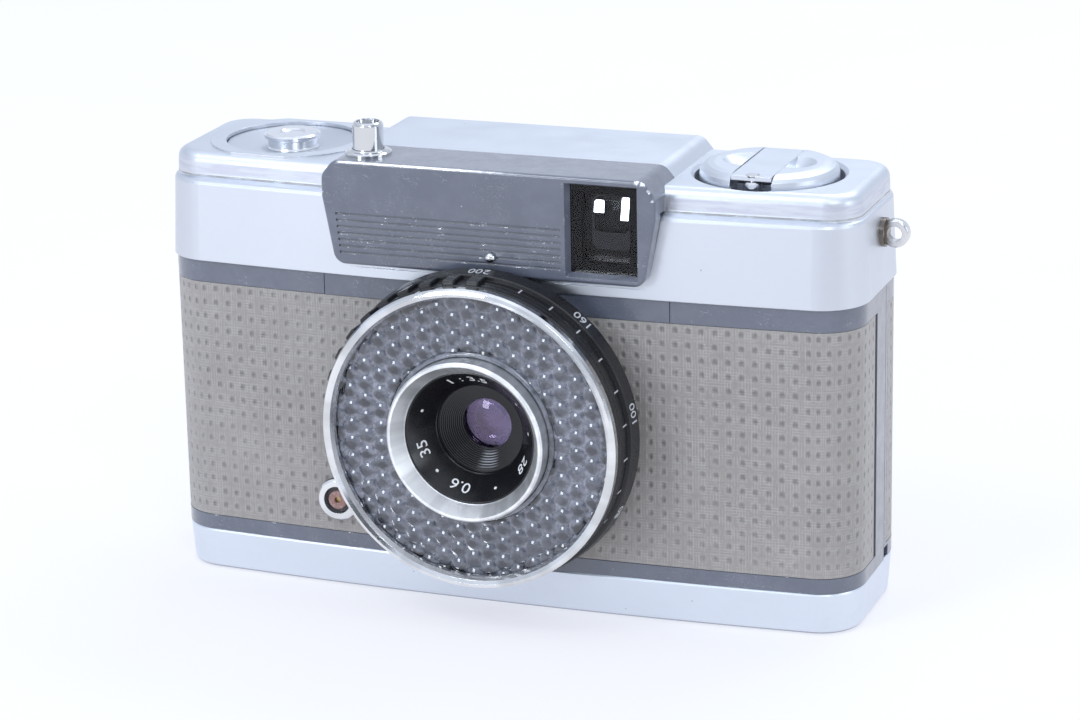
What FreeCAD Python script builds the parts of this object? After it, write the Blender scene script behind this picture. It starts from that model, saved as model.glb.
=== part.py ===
import FreeCAD, Part
import math
import os

# Half frame camera, all sizes in millimetres.
# X runs along the body, -Y is the lens side, +Z is up, Z = 0 is the bottom of the base plate.

V = FreeCAD.Vector
X, Y, Z = V(1, 0, 0), V(0, 1, 0), V(0, 0, 1)

# --- driving dimensions -----------------------------------------------------------------
HALF_W = 53.5          # half width at the lower edge of the top cover
BACK_Y = 13.9          # rear face
FRONT_Y = -15.46       # foremost point of the bowed front
BOW_R = 684.0          # radius of the bowed front in plan
CORNER_R = 7.1         # plan corner radius

BASE_TOP = 6.35        # top of the chromed base plate
SKIN_LO, SKIN_HI = 8.6, 45.3     # lower and upper edge of the leatherette
BAND_TOP = 48.6        # top of the slate upper band, where the top cover starts
LEDGE_Z = 60.6         # top of the lower tier of the cover
DECK_Z = 64.5          # flat top of the cover
HUMP_Z = 66.3          # top of the raised centre
BODY_INSET = 0.35      # body set in from the cover
WALL = 0.9

HOOD_FRONT = -17.4
HOOD_BACK = -7.0
HUMP_BACK = 11.7

LENS_Z = 29.2
FILM_Y = 10.4
GATE_W, GATE_H = 18.0, 24.0

CASSETTE = (36.8, 0.2, 12.9)     # x, y, radius of the film cassette chamber
TAKEUP = (-37.3, 2.6, 11.0)      # x, y, radius of the take-up chamber
SPROCKET = (-21.58, 5.0, 7.7)    # x, y, radius of the sprocket pocket
GEAR_M, GEAR_BIG, GEAR_SMALL = 0.6, 32, 21

REWIND = (36.8, 0.0)
CRANK_Z = 65.45                  # height of the folding crank's pivot
COUNTER = (-37.3, 0.0)
BUTTON = (-19.9, -12.1)
FINDER_X, FINDER_Z = 17.4, 58.6
PC = (-25.4, 13.8)
LUG_Y, LUG_Z = 1.0, 56.6
FLAG_X = FINDER_X - 6.3
FLANGE_SCREW_R = 19.2
SHOULDER_R = 2.0


# --- helpers ----------------------------------------------------------------------------
def box(x0, x1, y0, y1, z0, z1):
    return Part.makeBox(x1 - x0, y1 - y0, z1 - z0, V(x0, y0, z0))


def rod(r, p, axis, length):
    return Part.makeCylinder(r, length, V(*p), axis)


def tube(r_out, r_in, p, axis, length):
    return rod(r_out, p, axis, length).cut(rod(r_in, p, axis, length))


def lathe(profile, axis, x, y, z):
    """Closed (radius, height) profile turned about an axis through the point."""
    if axis == "z":
        pts = [V(x + r, y, z + h) for r, h in profile]
        direction = Z
    else:
        pts = [V(x + r, y - h, z) for r, h in profile]
        direction = Y
    face = Part.Face(Part.makePolygon(pts + [pts[0]]))
    return face.revolve(V(x, y, z), direction, 360)


def lens_lathe(profile):
    """Profile of (radius, distance in front of Y = 0) about the lens axis."""
    return lathe(profile, "y", 0, 0, LENS_Z)


def fuse(first, *others):
    return first.fuse(list(others)).removeSplitter() if others else first


def turned(shape, p, axis, angle):
    copy = shape.copy()
    copy.rotate(V(*p), axis, angle)
    return copy


def moved(shape, x=0.0, y=0.0, z=0.0):
    copy = shape.copy()
    copy.translate(V(x, y, z))
    return copy


def outline(inset, z, side=None):
    """Plan outline of the body with a bowed front, set in by one distance, or by another at the ends."""
    hw = HALF_W - (inset if side is None else side)
    back, r = BACK_Y - inset, max(CORNER_R - inset, 1.0)
    big = BOW_R - inset
    yc = FRONT_Y + BOW_R
    cx = hw - r
    cy = yc - math.sqrt((big - r) ** 2 - cx ** 2)
    k = big / (big - r)
    tx, ty = cx * k, yc + (cy - yc) * k
    a = math.radians(45)
    mid_dir = V(tx - cx, ty - cy, 0).normalize() + V(1, 0, 0)
    mid = mid_dir.normalize() * r
    edges = [
        Part.makeLine(V(cx, back, z), V(-cx, back, z)),
        Part.Arc(V(-cx, back, z), V(-cx - r * math.sin(a), back - r + r * math.cos(a), z),
                 V(-hw, back - r, z)).toShape(),
        Part.makeLine(V(-hw, back - r, z), V(-hw, cy, z)),
        Part.Arc(V(-hw, cy, z), V(-cx - mid.x, cy + mid.y, z), V(-tx, ty, z)).toShape(),
        Part.Arc(V(-tx, ty, z), V(0, yc - big, z), V(tx, ty, z)).toShape(),
        Part.Arc(V(tx, ty, z), V(cx + mid.x, cy + mid.y, z), V(hw, cy, z)).toShape(),
        Part.makeLine(V(hw, cy, z), V(hw, back - r, z)),
        Part.Arc(V(hw, back - r, z), V(cx + r * math.sin(a), back - r + r * math.cos(a), z),
                 V(cx, back, z)).toShape(),
    ]
    return Part.Wire(edges)


def stack(levels):
    """Solid through plan outlines given as (inset, z) or (inset, z, inset at the ends)."""
    return Part.makeLoft([outline(*level) for level in levels], True, True)


def slab(inset, z0, z1):
    return Part.Face(outline(inset, z0)).extrude(V(0, 0, z1 - z0))


def prism_y(points, y0, y1):
    """Profile of (x, z) points extruded along Y."""
    pts = [V(x, y0, z) for x, z in points]
    return Part.Face(Part.makePolygon(pts + [pts[0]])).extrude(V(0, y1 - y0, 0))


def fillet_where(shape, radius, test):
    """Round the edges for which test(edge) is true."""
    edges = [e for e in shape.Edges if test(e)]
    return shape.makeFillet(radius, edges) if edges else shape


def along(edge, axis):
    d = edge.Vertexes[-1].Point - edge.Vertexes[0].Point
    return d.Length > 1e-6 and abs(d.normalize().dot(axis)) > 0.999


def gear(teeth, x, y, z0, z1, bore, phase):
    """Spur gear with straight-sided teeth, one tooth centred on the phase angle."""
    pitch = GEAR_M * teeth / 2
    root, tip = pitch - 1.2 * GEAR_M, pitch + 0.92 * GEAR_M
    t = 0.40 * math.pi * GEAR_M
    w_root = t / 2 + 1.2 * GEAR_M * math.tan(math.radians(18))
    w_tip = t / 2 - 0.92 * GEAR_M * math.tan(math.radians(20))
    pts = []
    for i in range(teeth):
        a = math.radians(phase) + 2 * math.pi * i / teeth
        for r, w in ((root, -w_root), (tip, -w_tip), (tip, w_tip), (root, w_root)):
            b = a + w / r
            pts.append(V(x + r * math.cos(b), y + r * math.sin(b), z0))
    body = Part.Face(Part.makePolygon(pts + [pts[0]])).extrude(V(0, 0, z1 - z0))
    return body.cut(rod(bore, (x, y, z0), Z, z1 - z0))


def serrated(r, x, y, z0, z1, count, depth):
    """Disc whose rim carries fine vertical serrations."""
    pts = []
    for i in range(2 * count):
        a = math.pi * i / count
        q = r if i % 2 else r - depth
        pts.append(V(x + q * math.cos(a), y + q * math.sin(a), z0))
    return Part.Face(Part.makePolygon(pts + [pts[0]])).extrude(V(0, 0, z1 - z0))


PARTS = {}


def add(name, shape):
    PARTS[name] = shape


# --- top cover, hood and viewfinder -----------------------------------------------------
HUMP = [(-25.3, 60.0), (25.3, 60.0), (25.3, 64.0), (23.4, HUMP_Z), (-23.4, HUMP_Z), (-25.3, 64.0)]
HUMP_IN = [(-24.2, 60.0), (24.2, 60.0), (24.2, 63.6), (22.6, 65.3), (-22.6, 65.3), (-24.2, 63.6)]
HOOD = [(-23.5, 50.9), (23.5, 50.9), (25.3, 60.8), (25.3, 64.0), (23.4, HUMP_Z), (-23.4, HUMP_Z),
        (-25.3, 64.0), (-25.3, 60.8)]


def shoulder(edge):
    """Whether an edge runs front to back along the top shoulders of the raised centre."""
    return along(edge, Y) and edge.CenterOfMass.z > 63.9


def cover_outer():
    """Outer skin of the top cover as a filled solid."""
    low = stack([(0.0, BAND_TOP), (0.55, LEDGE_Z - 0.5), (0.72, LEDGE_Z - 0.12), (1.1, LEDGE_Z + 0.1),
                 (2.04, 61.0), (2.04, 61.3)])
    high = stack([(2.04, 60.5, 0.95), (2.3, DECK_Z, 1.1)])
    high = fillet_where(high, 1.6, lambda e: min(v.Z for v in e.Vertexes) > DECK_Z - 0.01)
    rear = prism_y(HUMP, HOOD_BACK, HUMP_BACK)
    rear = fillet_where(rear, SHOULDER_R, shoulder)
    rear = fillet_where(rear, 0.8, lambda e: e.CenterOfMass.y > HUMP_BACK - 0.01
                        and e.CenterOfMass.z > 64.2)
    front = prism_y(HUMP_IN, -15.0, HOOD_BACK)
    return fuse(low, high, rear, front)


def top_cover():
    outer = cover_outer()
    cavity = stack([(WALL, BAND_TOP - 1), (WALL + 0.6, LEDGE_Z - 0.6), (2.9, 60.9)])
    cavity = cavity.fuse([stack([(2.95, 60.0), (3.2, DECK_Z - WALL)]),
                          prism_y([(-23.2, 60), (23.2, 60), (23.2, 63.3), (21.8, 64.5), (-21.8, 64.5),
                                   (-23.2, 63.3)], -14.2, HUMP_BACK - WALL)])
    rx, ry = REWIND
    cx, cy = COUNTER
    cup = rod(11.6, (rx, ry, 60.6), Z, DECK_Z - 61.2)
    dish = rod(10.6, (cx, cy, 61.9), Z, DECK_Z - 62.5)
    inner_limit = stack([(2.6, 60.0), (2.9, DECK_Z - 0.3)])
    cavity = cavity.cut([cup.common(inner_limit), dish.common(inner_limit)])
    shell = outer.cut(cavity)
    shell = shell.cut(box(-25.0, 25.0, -17, -15.0, 50, 61))
    shell = shell.cut([
        rod(10.75, (rx, ry, 61.4), Z, 5), rod(2.6, (rx, ry, 58), Z, 5),
        Part.makeCone(10.7, 11.3, 0.6, V(rx, ry, DECK_Z - 0.55)),
        rod(9.9, (cx, cy, 62.7), Z, 5), rod(1.3, (cx, cy, 60), Z, 5),
        rod(2.35, (*BUTTON, 60), Z, 8), rod(1.5, (*BUTTON, 55), Z, 8),
        box(TAKEUP[0] - 8.6, TAKEUP[0] + 8.6, 11.5, 16, 49.9, 54.9),
        box(FINDER_X - 4.6, FINDER_X + 4.6, -16, -12, 52.5, 64.7),
        box(FINDER_X - 3.9, FINDER_X + 3.9, 9.0, 16, 55.2, 62.2),
        rod(1.25, (-HALF_W - 1, LUG_Y, LUG_Z), X, 2 * HALF_W + 2),
    ])
    rim = tube(12.2, 9.9, (cx, cy, DECK_Z - 0.3), Z, 0.52).common(slab(3.0, 60, 70))
    rim = rim.cut(prism_y([(-25.4, 60), (25.4, 60), (25.4, 70), (-25.4, 70)], -20, 20))
    shell = fuse(shell, rim)
    return shell


def finder_cut():
    """Stepped opening that frames the viewfinder window."""
    front = Part.makePolygon([V(FINDER_X + a, HOOD_FRONT - 0.01, FINDER_Z + b) for a, b in
                              ((-5.5, -6.85), (5.3, -6.85), (5.3, 6.8), (-5.5, 6.8), (-5.5, -6.85))])
    rear = Part.makePolygon([V(FINDER_X + a, -16.3, FINDER_Z + b) for a, b in
                             ((-5.0, -6.4), (5.0, -6.4), (5.0, 6.4), (-5.0, 6.4), (-5.0, -6.4))])
    funnel = Part.makeLoft([front, rear], True, True)
    return [funnel, box(FINDER_X - 5.0, FINDER_X + 5.0, -16.31, -12, FINDER_Z - 6.4, FINDER_Z + 6.4)]


def index_ball():
    """Polished ball pressed into the hood above the lens."""
    return Part.makeSphere(0.8, V(0.7, HOOD_FRONT - 0.15, 53.7))


def front_hood():
    front = prism_y(HOOD, HOOD_FRONT, -14.9)
    front = fillet_where(front, 1.9, lambda e: along(e, Y) and e.CenterOfMass.z < 52)
    front = fillet_where(front, SHOULDER_R, shoulder)
    front = fillet_where(front, 0.5, lambda e: e.CenterOfMass.y < HOOD_FRONT + 0.01)
    top = fillet_where(prism_y(HUMP, -15.0, HOOD_BACK), SHOULDER_R, shoulder)
    hood = front.fuse(top.cut(box(-30, 30, -30, 30, 50, 61.25)))
    hood = hood.cut([cover_outer(), prism_y(HUMP_IN, -15.0, 0)] + finder_cut())
    for i in range(7):
        z = 52.75 + i * 0.95
        hood = hood.cut(box(-22.9 - 0.17 * (i - 3) * 0.5, 11.2, HOOD_FRONT - 1, HOOD_FRONT + 0.28,
                            z - 0.17, z + 0.17))
    hood = hood.cut([rod(2.35, (*BUTTON, 60), Z, 10), index_ball()])
    return max(hood.Solids, key=lambda s: s.Volume)


def finder_parts():
    add("finder_window", box(FINDER_X - 4.97, FINDER_X + 4.97, -16.28, -15.5, FINDER_Z - 6.37,
                             FINDER_Z + 6.37))
    tunnel = box(FINDER_X - 4.4, FINDER_X + 4.4, -15.4, 9.5, 52.7, 64.4)
    tunnel = tunnel.fuse(box(FINDER_X - 4.97, FINDER_X + 4.97, -15.45, -15.05, FINDER_Z - 6.37, FINDER_Z + 6.37))
    tunnel = tunnel.cut([box(FINDER_X - 3.6, FINDER_X + 3.6, -16, 7.0, 53.5, 63.6),
                         rod(3.12, (FINDER_X, 6, FINDER_Z), Y, 5)])
    tunnel = tunnel.cut(box(FINDER_X - 5, FINDER_X - 2, -6.7, -5.3, 52.0, 63.7))
    add("finder_tunnel", tunnel)
    plate = box(FINDER_X - 3.58, FINDER_X + 3.58, -14.2, -12.4, 53.52, 63.58)
    hollow = rod(14.0, (FINDER_X - 5, -12.4 + 13.2, FINDER_Z), X, 10)
    ocular = rod(3.1, (FINDER_X, 7.4, FINDER_Z), Y, 1.8)
    ocular = ocular.fuse(Part.makeSphere(6.0, V(FINDER_X, 13.5, FINDER_Z)).common(
        rod(3.1, (FINDER_X, 6.9, FINDER_Z), Y, 1.0))).removeSplitter()
    add("finder_lenses", Part.Compound([plate.cut(hollow), ocular]))
    frame = box(FINDER_X - 5.2, FINDER_X + 5.2, 13.3, 14.9, 53.8, 63.6)
    frame = fillet_where(frame, 1.6, lambda e: along(e, Y))
    frame = frame.fuse(box(FINDER_X - 3.85, FINDER_X + 3.85, 9.6, 13.4, 55.25, 62.15))
    frame = frame.cut(box(FINDER_X - 3.0, FINDER_X + 3.0, 9, 16, 56.0, 61.4))
    add("eyepiece_frame", frame.cut(cover_outer()).fuse(frame.common(box(
        FINDER_X - 3.85, FINDER_X + 3.85, 9.6, 13.4, 55.25, 62.15))).removeSplitter())
    add("index_ball", index_ball())


# --- body -------------------------------------------------------------------------------
def screw_spots():
    """Centres (x, z) of the four screws that hold the lens flange."""
    r = FLANGE_SCREW_R * math.sqrt(0.5)
    return [(sx * r, LENS_Z + sz * r) for sx in (-1, 1) for sz in (-1, 1)]


def chamber_cuts():
    cx, cy, cr = CASSETTE
    tx, ty, tr = TAKEUP
    sx, sy, sr = SPROCKET
    return [
        rod(cr, (cx, cy, 2.6), Z, 44.6), box(cx - cr, cx + cr, cy, 14, 2.6, 47.2),
        rod(tr, (tx, ty, 3.4), Z, 43.8), box(tx - tr, tx + tr, ty, 14, 3.4, 47.2),
        rod(sr, (sx, sy, 8.0), Z, 38.0), box(sx - sr, sx + sr, sy, 14, 8.0, 46.0),
        box(-30, 40, 10.1, 14, 8.0, 46.0), box(-15.6, 15.6, 10.7, 14, 1, 9.0),
        box(-60, 60, 11.6, 20, 1, 49),
    ]


def castings():
    """Die-cast body in three lengths: the take-up bay, the centre with the film gate, the cassette bay."""
    core = slab(BODY_INSET + WALL + 0.1, 1.5, 48.4)
    core = core.cut(chamber_cuts())
    core = core.cut([
        box(-GATE_W / 2, GATE_W / 2, -10, 12, LENS_Z - GATE_H / 2, LENS_Z + GATE_H / 2),
        lens_lathe([(0, 4.5), (11.5, 4.5), (11.5, 8.0), (17.9, 8.0), (17.9, 20), (0, 20)]),
        rod(5.3, (0, 0, 1), Z, 6.2),
        rod(2.1, (SPROCKET[0], SPROCKET[1], 1), Z, 8),
        rod(1.55, (TAKEUP[0], TAKEUP[1], 47), Z, 2),
        rod(1.55, (SPROCKET[0], SPROCKET[1], 45), Z, 4),
        rod(2.05, (REWIND[0], REWIND[1], 47), Z, 2),
        rod(2.7, (PC[0], -16, PC[1]), Y, 3.4),
        box(-31, -23, -12.3, -4, 18, 42), rod(10.0, (0, 0, 1), Z, 1.5),
    ] + [rod(0.7, (x, -18, z), Y, 10) for x, z in screw_spots()])
    rails = [box(-13.4, 23.4, 9.9, FILM_Y, z, z + 1.4)
             for z in (LENS_Z - 18.6, LENS_Z - 14.2, LENS_Z + 12.8, LENS_Z + 15.2)]
    post = tube(1.9, 1.25, (*BUTTON, 48.3), Z, 11.6).common(box(-30, 0, -13.6, 0, 48, 61))
    bracket = box(FLAG_X - 1.5, FLAG_X + 1.5, -5.4, -4.6, 48.3, 53.0)
    bracket = bracket.fuse(rod(0.45, (FLAG_X, -6.6, 51.5), Y, 1.5))
    whole = max(fuse(core, *rails, post, bracket).Solids, key=lambda s: s.Volume)
    joints = [-60.0, -26.2, CASSETTE[0] - CASSETTE[2], 60.0]
    for name, x0, x1 in zip(("takeup_bay", "body_casting", "cassette_bay"), joints, joints[1:]):
        part = whole.common(box(x0, x1, -30, 30, 0, 70))
        add(name, max(part.Solids, key=lambda s: s.Volume))


def front_shell():
    """Slate painted front of the body: two bands, two side strips and the panel between."""
    ring = slab(BODY_INSET, BASE_TOP, BAND_TOP).cut(slab(BODY_INSET + WALL, BASE_TOP - 1, BAND_TOP + 1))
    ring = ring.cut(box(-60, 60, 3.2, 20, 0, 60))
    recess = slab(BODY_INSET - 1, SKIN_LO, SKIN_HI).cut(slab(BODY_INSET + 0.45, SKIN_LO - 1, SKIN_HI + 1))
    recess = recess.cut(box(-60, 60, -1.4, 20, 0, 60))
    mid = slab(BODY_INSET - 1, SKIN_HI, BAND_TOP + 1).cut(slab(BODY_INSET + 0.5, SKIN_HI - 1, BAND_TOP + 2))
    mid = mid.common(box(-26.6, 26.5, -20, 0, 0, 60))
    holes = [rod(16.9, (0, -20, LENS_Z), Y, 12), rod(2.7, (PC[0], -20, PC[1]), Y, 12)]
    holes += [rod(0.7, (x, -18, z), Y, 10) for x, z in screw_spots()]
    return ring.cut([recess, mid] + holes)


def band_centre():
    ring = slab(BODY_INSET, SKIN_HI, BAND_TOP).cut(slab(BODY_INSET + 0.48, SKIN_HI - 1, BAND_TOP + 1))
    return ring.common(box(-26.5, 26.4, -20, 0, 0, 60)).cut(rod(17.0, (0, -20, LENS_Z), Y, 12))


def leatherette_front(side):
    skin = slab(BODY_INSET + 0.03, SKIN_LO + 0.08, SKIN_HI - 0.08)
    skin = skin.cut(slab(BODY_INSET + 0.45, SKIN_LO - 1, SKIN_HI + 1))
    skin = skin.cut([box(-60, 60, -2.4, 20, 0, 60), rod(20.7, (0, -20, LENS_Z), Y, 12),
                     rod(3.25, (PC[0], -20, PC[1]), Y, 12)])
    half = box(0, 60, -20, 20, 0, 60) if side > 0 else box(-60, 0, -20, 20, 0, 60)
    return skin.common(half)


def back_cover():
    shell = slab(BODY_INSET, BASE_TOP, BAND_TOP - 0.1).cut(
        slab(BODY_INSET + WALL, BASE_TOP - 1, BAND_TOP + 1))
    shell = shell.cut([box(-60, 60, -20, 3.35, 0, 60), box(51, 60, 0, 5.4, 0, BASE_TOP + 1.75)])
    recess = slab(BODY_INSET - 1, SKIN_LO, SKIN_HI).cut(slab(BODY_INSET + 0.45, SKIN_LO - 1, SKIN_HI + 1))
    return shell.cut(recess.cut(box(-60, 60, -20, 4.3, 0, 60)))


def leatherette_back():
    skin = slab(BODY_INSET + 0.03, SKIN_LO + 0.08, SKIN_HI - 0.08)
    skin = skin.cut(slab(BODY_INSET + 0.45, SKIN_LO - 1, SKIN_HI + 1))
    return skin.cut(box(-60, 60, -20, 4.5, 0, 60))


def base_plate():
    outer = stack([(1.5, 0.0), (1.15, 0.1), (0.9, 0.35), (0.8, 0.7), (0.4, BASE_TOP - 0.35),
                   (0.55, BASE_TOP - 0.05)])
    pan = outer.cut(slab(BODY_INSET + WALL + 0.05, 1.3, BASE_TOP + 1))
    floor = [rod(9.7, (0, 0, 1.25), Z, 0.9), rod(4.6, (0, 0, 1.0), Z, 3.6)]
    pan = fuse(pan, *floor)
    pan = pan.cut([tube(9.55, 3.9, (0, 0, -1), Z, 2.3), rod(4.0, (0, 0, -1), Z, 8),
                   rod(1.75, (SPROCKET[0], SPROCKET[1], -1), Z, 4)])
    return pan


def body_parts():
    castings()
    add("front_shell", front_shell())
    add("band_centre", band_centre())
    add("leatherette_front", Part.Compound([leatherette_front(-1), leatherette_front(1)]))
    ring = lathe([(2.1, 12.8), (2.6, 12.8), (2.6, 14.9), (3.2, 14.9), (3.2, 15.35), (2.9, 15.65),
                  (2.1, 15.65)], "y", PC[0], 0, PC[1])
    add("pc_socket_ring", ring)
    core = rod(2.08, (PC[0], -12.9, PC[1]), -Y, 1.7).fuse(tube(1.4, 0.5, (PC[0], -14.6, PC[1]), -Y, 0.9))
    add("pc_socket_insulator", core.cut(rod(0.5, (PC[0], -12.5, PC[1]), -Y, 5)).removeSplitter())
    add("pc_socket_pin", rod(0.48, (PC[0], -12.9, PC[1]), -Y, 2.1))
    add("strap_lugs", Part.Compound([strap_lug(1), strap_lug(-1)]))
    add("light_seals", Part.Compound([box(x0, x1, 11.65, 12.5, z, z + 1.1)
                                      for x0, x1, z in ((-46, 46, 47.1), (-46, -16, 3.0), (16, 46, 3.0))]))


def strap_lug(side):
    """Round washer, stem and flat eye."""
    wall = HALF_W - 0.42
    plate = rod(2.1, (wall - 0.3, LUG_Y, LUG_Z), X, 1.0)
    stem = rod(1.2, (wall - 3.0, LUG_Y, LUG_Z), X, 4.0)
    eye_x = wall + 2.0
    eye = fillet_where(rod(2.05, (eye_x, LUG_Y - 0.85, LUG_Z), Y, 1.7), 0.4, lambda e: True)
    eye = eye.cut(rod(1.1, (eye_x, LUG_Y - 2, LUG_Z), Y, 4))
    stem = stem.cut(rod(1.6, (eye_x, LUG_Y - 2, LUG_Z), Y, 4))
    lug = fuse(plate.cut(cover_outer()), stem, eye)
    lug = max(lug.Solids, key=lambda s: s.Volume)
    return lug if side > 0 else lug.mirror(V(0, 0, 0), X)


def back_parts():
    add("back_cover", back_cover())
    add("leatherette_back", leatherette_back())
    add("base_plate", base_plate())
    plate = box(-15, 15, 10.95, 11.55, LENS_Z - 16.5, LENS_Z + 16.5)
    add("pressure_plate", fillet_where(plate, 2.0, lambda e: along(e, Y)))
    leaf = []
    for s in (-1, 1):
        pts = [(s * 0.0, 12.42), (s * 4.0, 12.42), (s * 11.0, 11.75), (s * 12.2, 11.75),
               (s * 12.2, 11.6), (s * 10.9, 11.6), (s * 3.9, 12.27), (s * 0.0, 12.27)]
        wire = Part.makePolygon([V(x, y, LENS_Z - 3.5) for x, y in pts + [pts[0]]])
        leaf.append(Part.Face(wire).extrude(V(0, 0, 7)))
    add("pressure_spring", fuse(*leaf))
    add("tripod_bush", tube(3.98, 3.175, (0, 0, 0), Z, 6.4))
    disc = tube(9.4, 4.1, (0, 0, 0.3), Z, 0.9)
    disc = disc.cut(tube(7.45, 5.15, (0, 0, 0), Z, 0.8).common(box(-10, 10, -10, 0.6, -1, 2)))
    disc = disc.cut(box(-8.9, 8.9, -0.65, 0.65, 0.0, 0.85).cut(rod(5.0, (0, 0, -1), Z, 4)))
    disc = disc.cut(turned(box(-1.6, 1.6, -8.6, -6, 0, 0.75), (0, 0, 0), Z, 0))
    add("lock_disc", disc)
    bail = tube(7.3, 5.3, (0, 0, 0.35), Z, 0.4).common(box(-10, 10, -10, 0.25, -1, 2))
    pins = rod(0.22, (-8.2, 0, 0.56), X, 3.2).fuse(rod(0.22, (5.0, 0, 0.56), X, 3.2))
    add("lock_bail", max(fuse(bail, pins.cut(rod(5.3, (0, 0, 0), Z, 2))).Solids, key=lambda s: s.Volume))
    rel = rod(1.65, (SPROCKET[0], SPROCKET[1], 0.35), Z, 2.0)
    rel = rel.fuse(rod(2.0, (SPROCKET[0], SPROCKET[1], 2.4), Z, 1.0))
    add("rewind_release", rel.fuse(rod(0.8, (SPROCKET[0], SPROCKET[1], 2.2), Z, 4.2)).removeSplitter())


# --- film transport ---------------------------------------------------------------------
def transport_parts():
    tx, ty, _ = TAKEUP
    wheel = serrated(12.8, tx, ty, 51.0, 54.4, 90, 0.4)
    wheel = wheel.fuse(rod(12.2, (tx, ty, 50.7), Z, 4.0))
    add("thumbwheel", wheel.cut([rod(1.5, (tx, ty, 50), Z, 6), rod(9.5, (tx, ty, 53.2), Z, 3)]).removeSplitter())
    sx, sy, _ = SPROCKET
    line = math.degrees(math.atan2(sy - ty, sx - tx))
    shaft = rod(1.49, (tx, ty, 44.0), Z, 9.8)
    add("advance_gear", fuse(shaft, gear(GEAR_BIG, tx, ty, 49.0, 50.2, 0.5, line).fuse(
        rod(1.49, (tx, ty, 49), Z, 1))))
    spool = fuse(rod(5.0, (tx, ty, 4.6), Z, 39.2), rod(7.4, (tx, ty, 4.2), Z, 1.2),
                 rod(7.4, (tx, ty, 42.6), Z, 1.2))
    slots = [turned(box(tx - 0.5, tx + 0.5, ty, ty + 6, 12, 36), (tx, ty, 0), Z, 60 * i) for i in range(3)]
    add("takeup_spool", spool.cut(slots + [rod(1.55, (tx, ty, 43.0), Z, 3)]))
    drum = [rod(4.6, (sx, sy, 9.2), Z, 35.4)]
    teeth = []
    for z in (LENS_Z - 14.1, LENS_Z + 14.1):
        drum.append(rod(6.0, (sx, sy, z - 2.6), Z, 5.2))
        for i in range(8):
            tooth = box(sx - 0.7, sx + 0.7, sy + 5.5, sy + 7.2, z - 0.9, z + 0.9)
            teeth.append(turned(tooth, (sx, sy, 0), Z, 45 * i + 22.5))
    drum.append(rod(1.49, (sx, sy, 44.0), Z, 6.0))
    add("sprocket", fuse(drum[0], *drum[1:], *teeth).cut(rod(1.0, (sx, sy, 9), Z, 4)))
    add("sprocket_gear", gear(GEAR_SMALL, sx, sy, 49.1, 50.1, 1.49, line + 180 + 180 / GEAR_SMALL))
    cx, cy = COUNTER
    dial = lathe([(0, -0.25), (4.0, -0.25), (9.3, 0.55), (9.7, 0.55), (9.7, 0.05), (9.3, 0.0),
                  (4.0, -0.75), (1.2, -0.75), (1.2, -4.0), (0, -4.0)], "z", cx, cy, 63.6)
    add("counter_dial", dial)
    knob = lathe([(0, 0), (3.9, 0), (3.7, 0.3), (3.7, 1.35), (4.2, 1.6), (4.2, 2.0), (3.9, 2.25), (2.0, 2.25),
                  (1.7, 2.05), (0, 2.05)], "z", cx, cy, 63.36)
    add("counter_knob", knob)


def rewind_parts():
    rx, ry = REWIND
    disc = lathe([(0, 0), (9.9, 0), (10.0, 0.1), (10.0, 2.9), (9.85, 3.45), (9.45, 3.9), (8.8, 4.2),
                  (7.9, 4.36), (0, 4.45)], "z", rx, ry, 61.75)
    slot = box(rx - 3.05, rx + 3.05, ry - 11, ry + 11, 64.25, 67)
    disc = disc.cut([slot, box(rx - 2.85, rx + 2.85, ry - 11, ry - 6.6, 61.5, 67)])
    for s in (-1, 1):
        bowl = Part.makeSphere(5.2, V(rx + s * 3.4, ry, 70.0))
        side = box(rx + 3.15, rx + 9, ry - 6, ry + 6, 60, 70) if s > 0 else box(
            rx - 9, rx - 3.15, ry - 6, ry + 6, 60, 70)
        disc = disc.cut(bowl.common(side))
    disc = disc.cut(rod(0.45, (rx - 4.6, ry + 7.6, CRANK_Z), X, 9.2))
    add("rewind_disc", max(disc.Solids, key=lambda s: s.Volume))
    shaft = fuse(rod(2.0, (rx, ry, 44.0), Z, 17.75), rod(3.4, (rx, ry, 44.6), Z, 1.0))
    fork = box(rx - 0.5, rx + 0.5, ry - 2.0, ry + 2.0, 41.4, 44.2)
    add("rewind_shaft", fuse(shaft, fork))
    arm = box(rx - 2.95, rx + 2.95, ry - 9.15, ry + 7.6, 65.35, 66.05)
    arm = fuse(arm, rod(0.55, (rx - 2.95, ry + 7.6, CRANK_Z), X, 5.9),
               rod(0.4, (rx - 4.5, ry + 7.6, CRANK_Z), X, 9.0))
    arm = arm.cut([rod(0.5, (rx, ry - 8.3, 64), Z, 3), rod(0.95, (rx, ry - 8.3, 65.75), Z, 3)])
    add("crank_arm", arm)
    knob = lathe([(0, 0.9), (1.1, 0.9), (1.3, 1.1), (1.3, 2.6), (1.1, 2.8), (0.44, 2.8), (0.44, 3.55),
                  (0.85, 3.55), (0.85, 3.7), (0, 3.7)], "z", rx, ry - 8.3, 62.35)
    add("crank_knob", knob)


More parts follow.
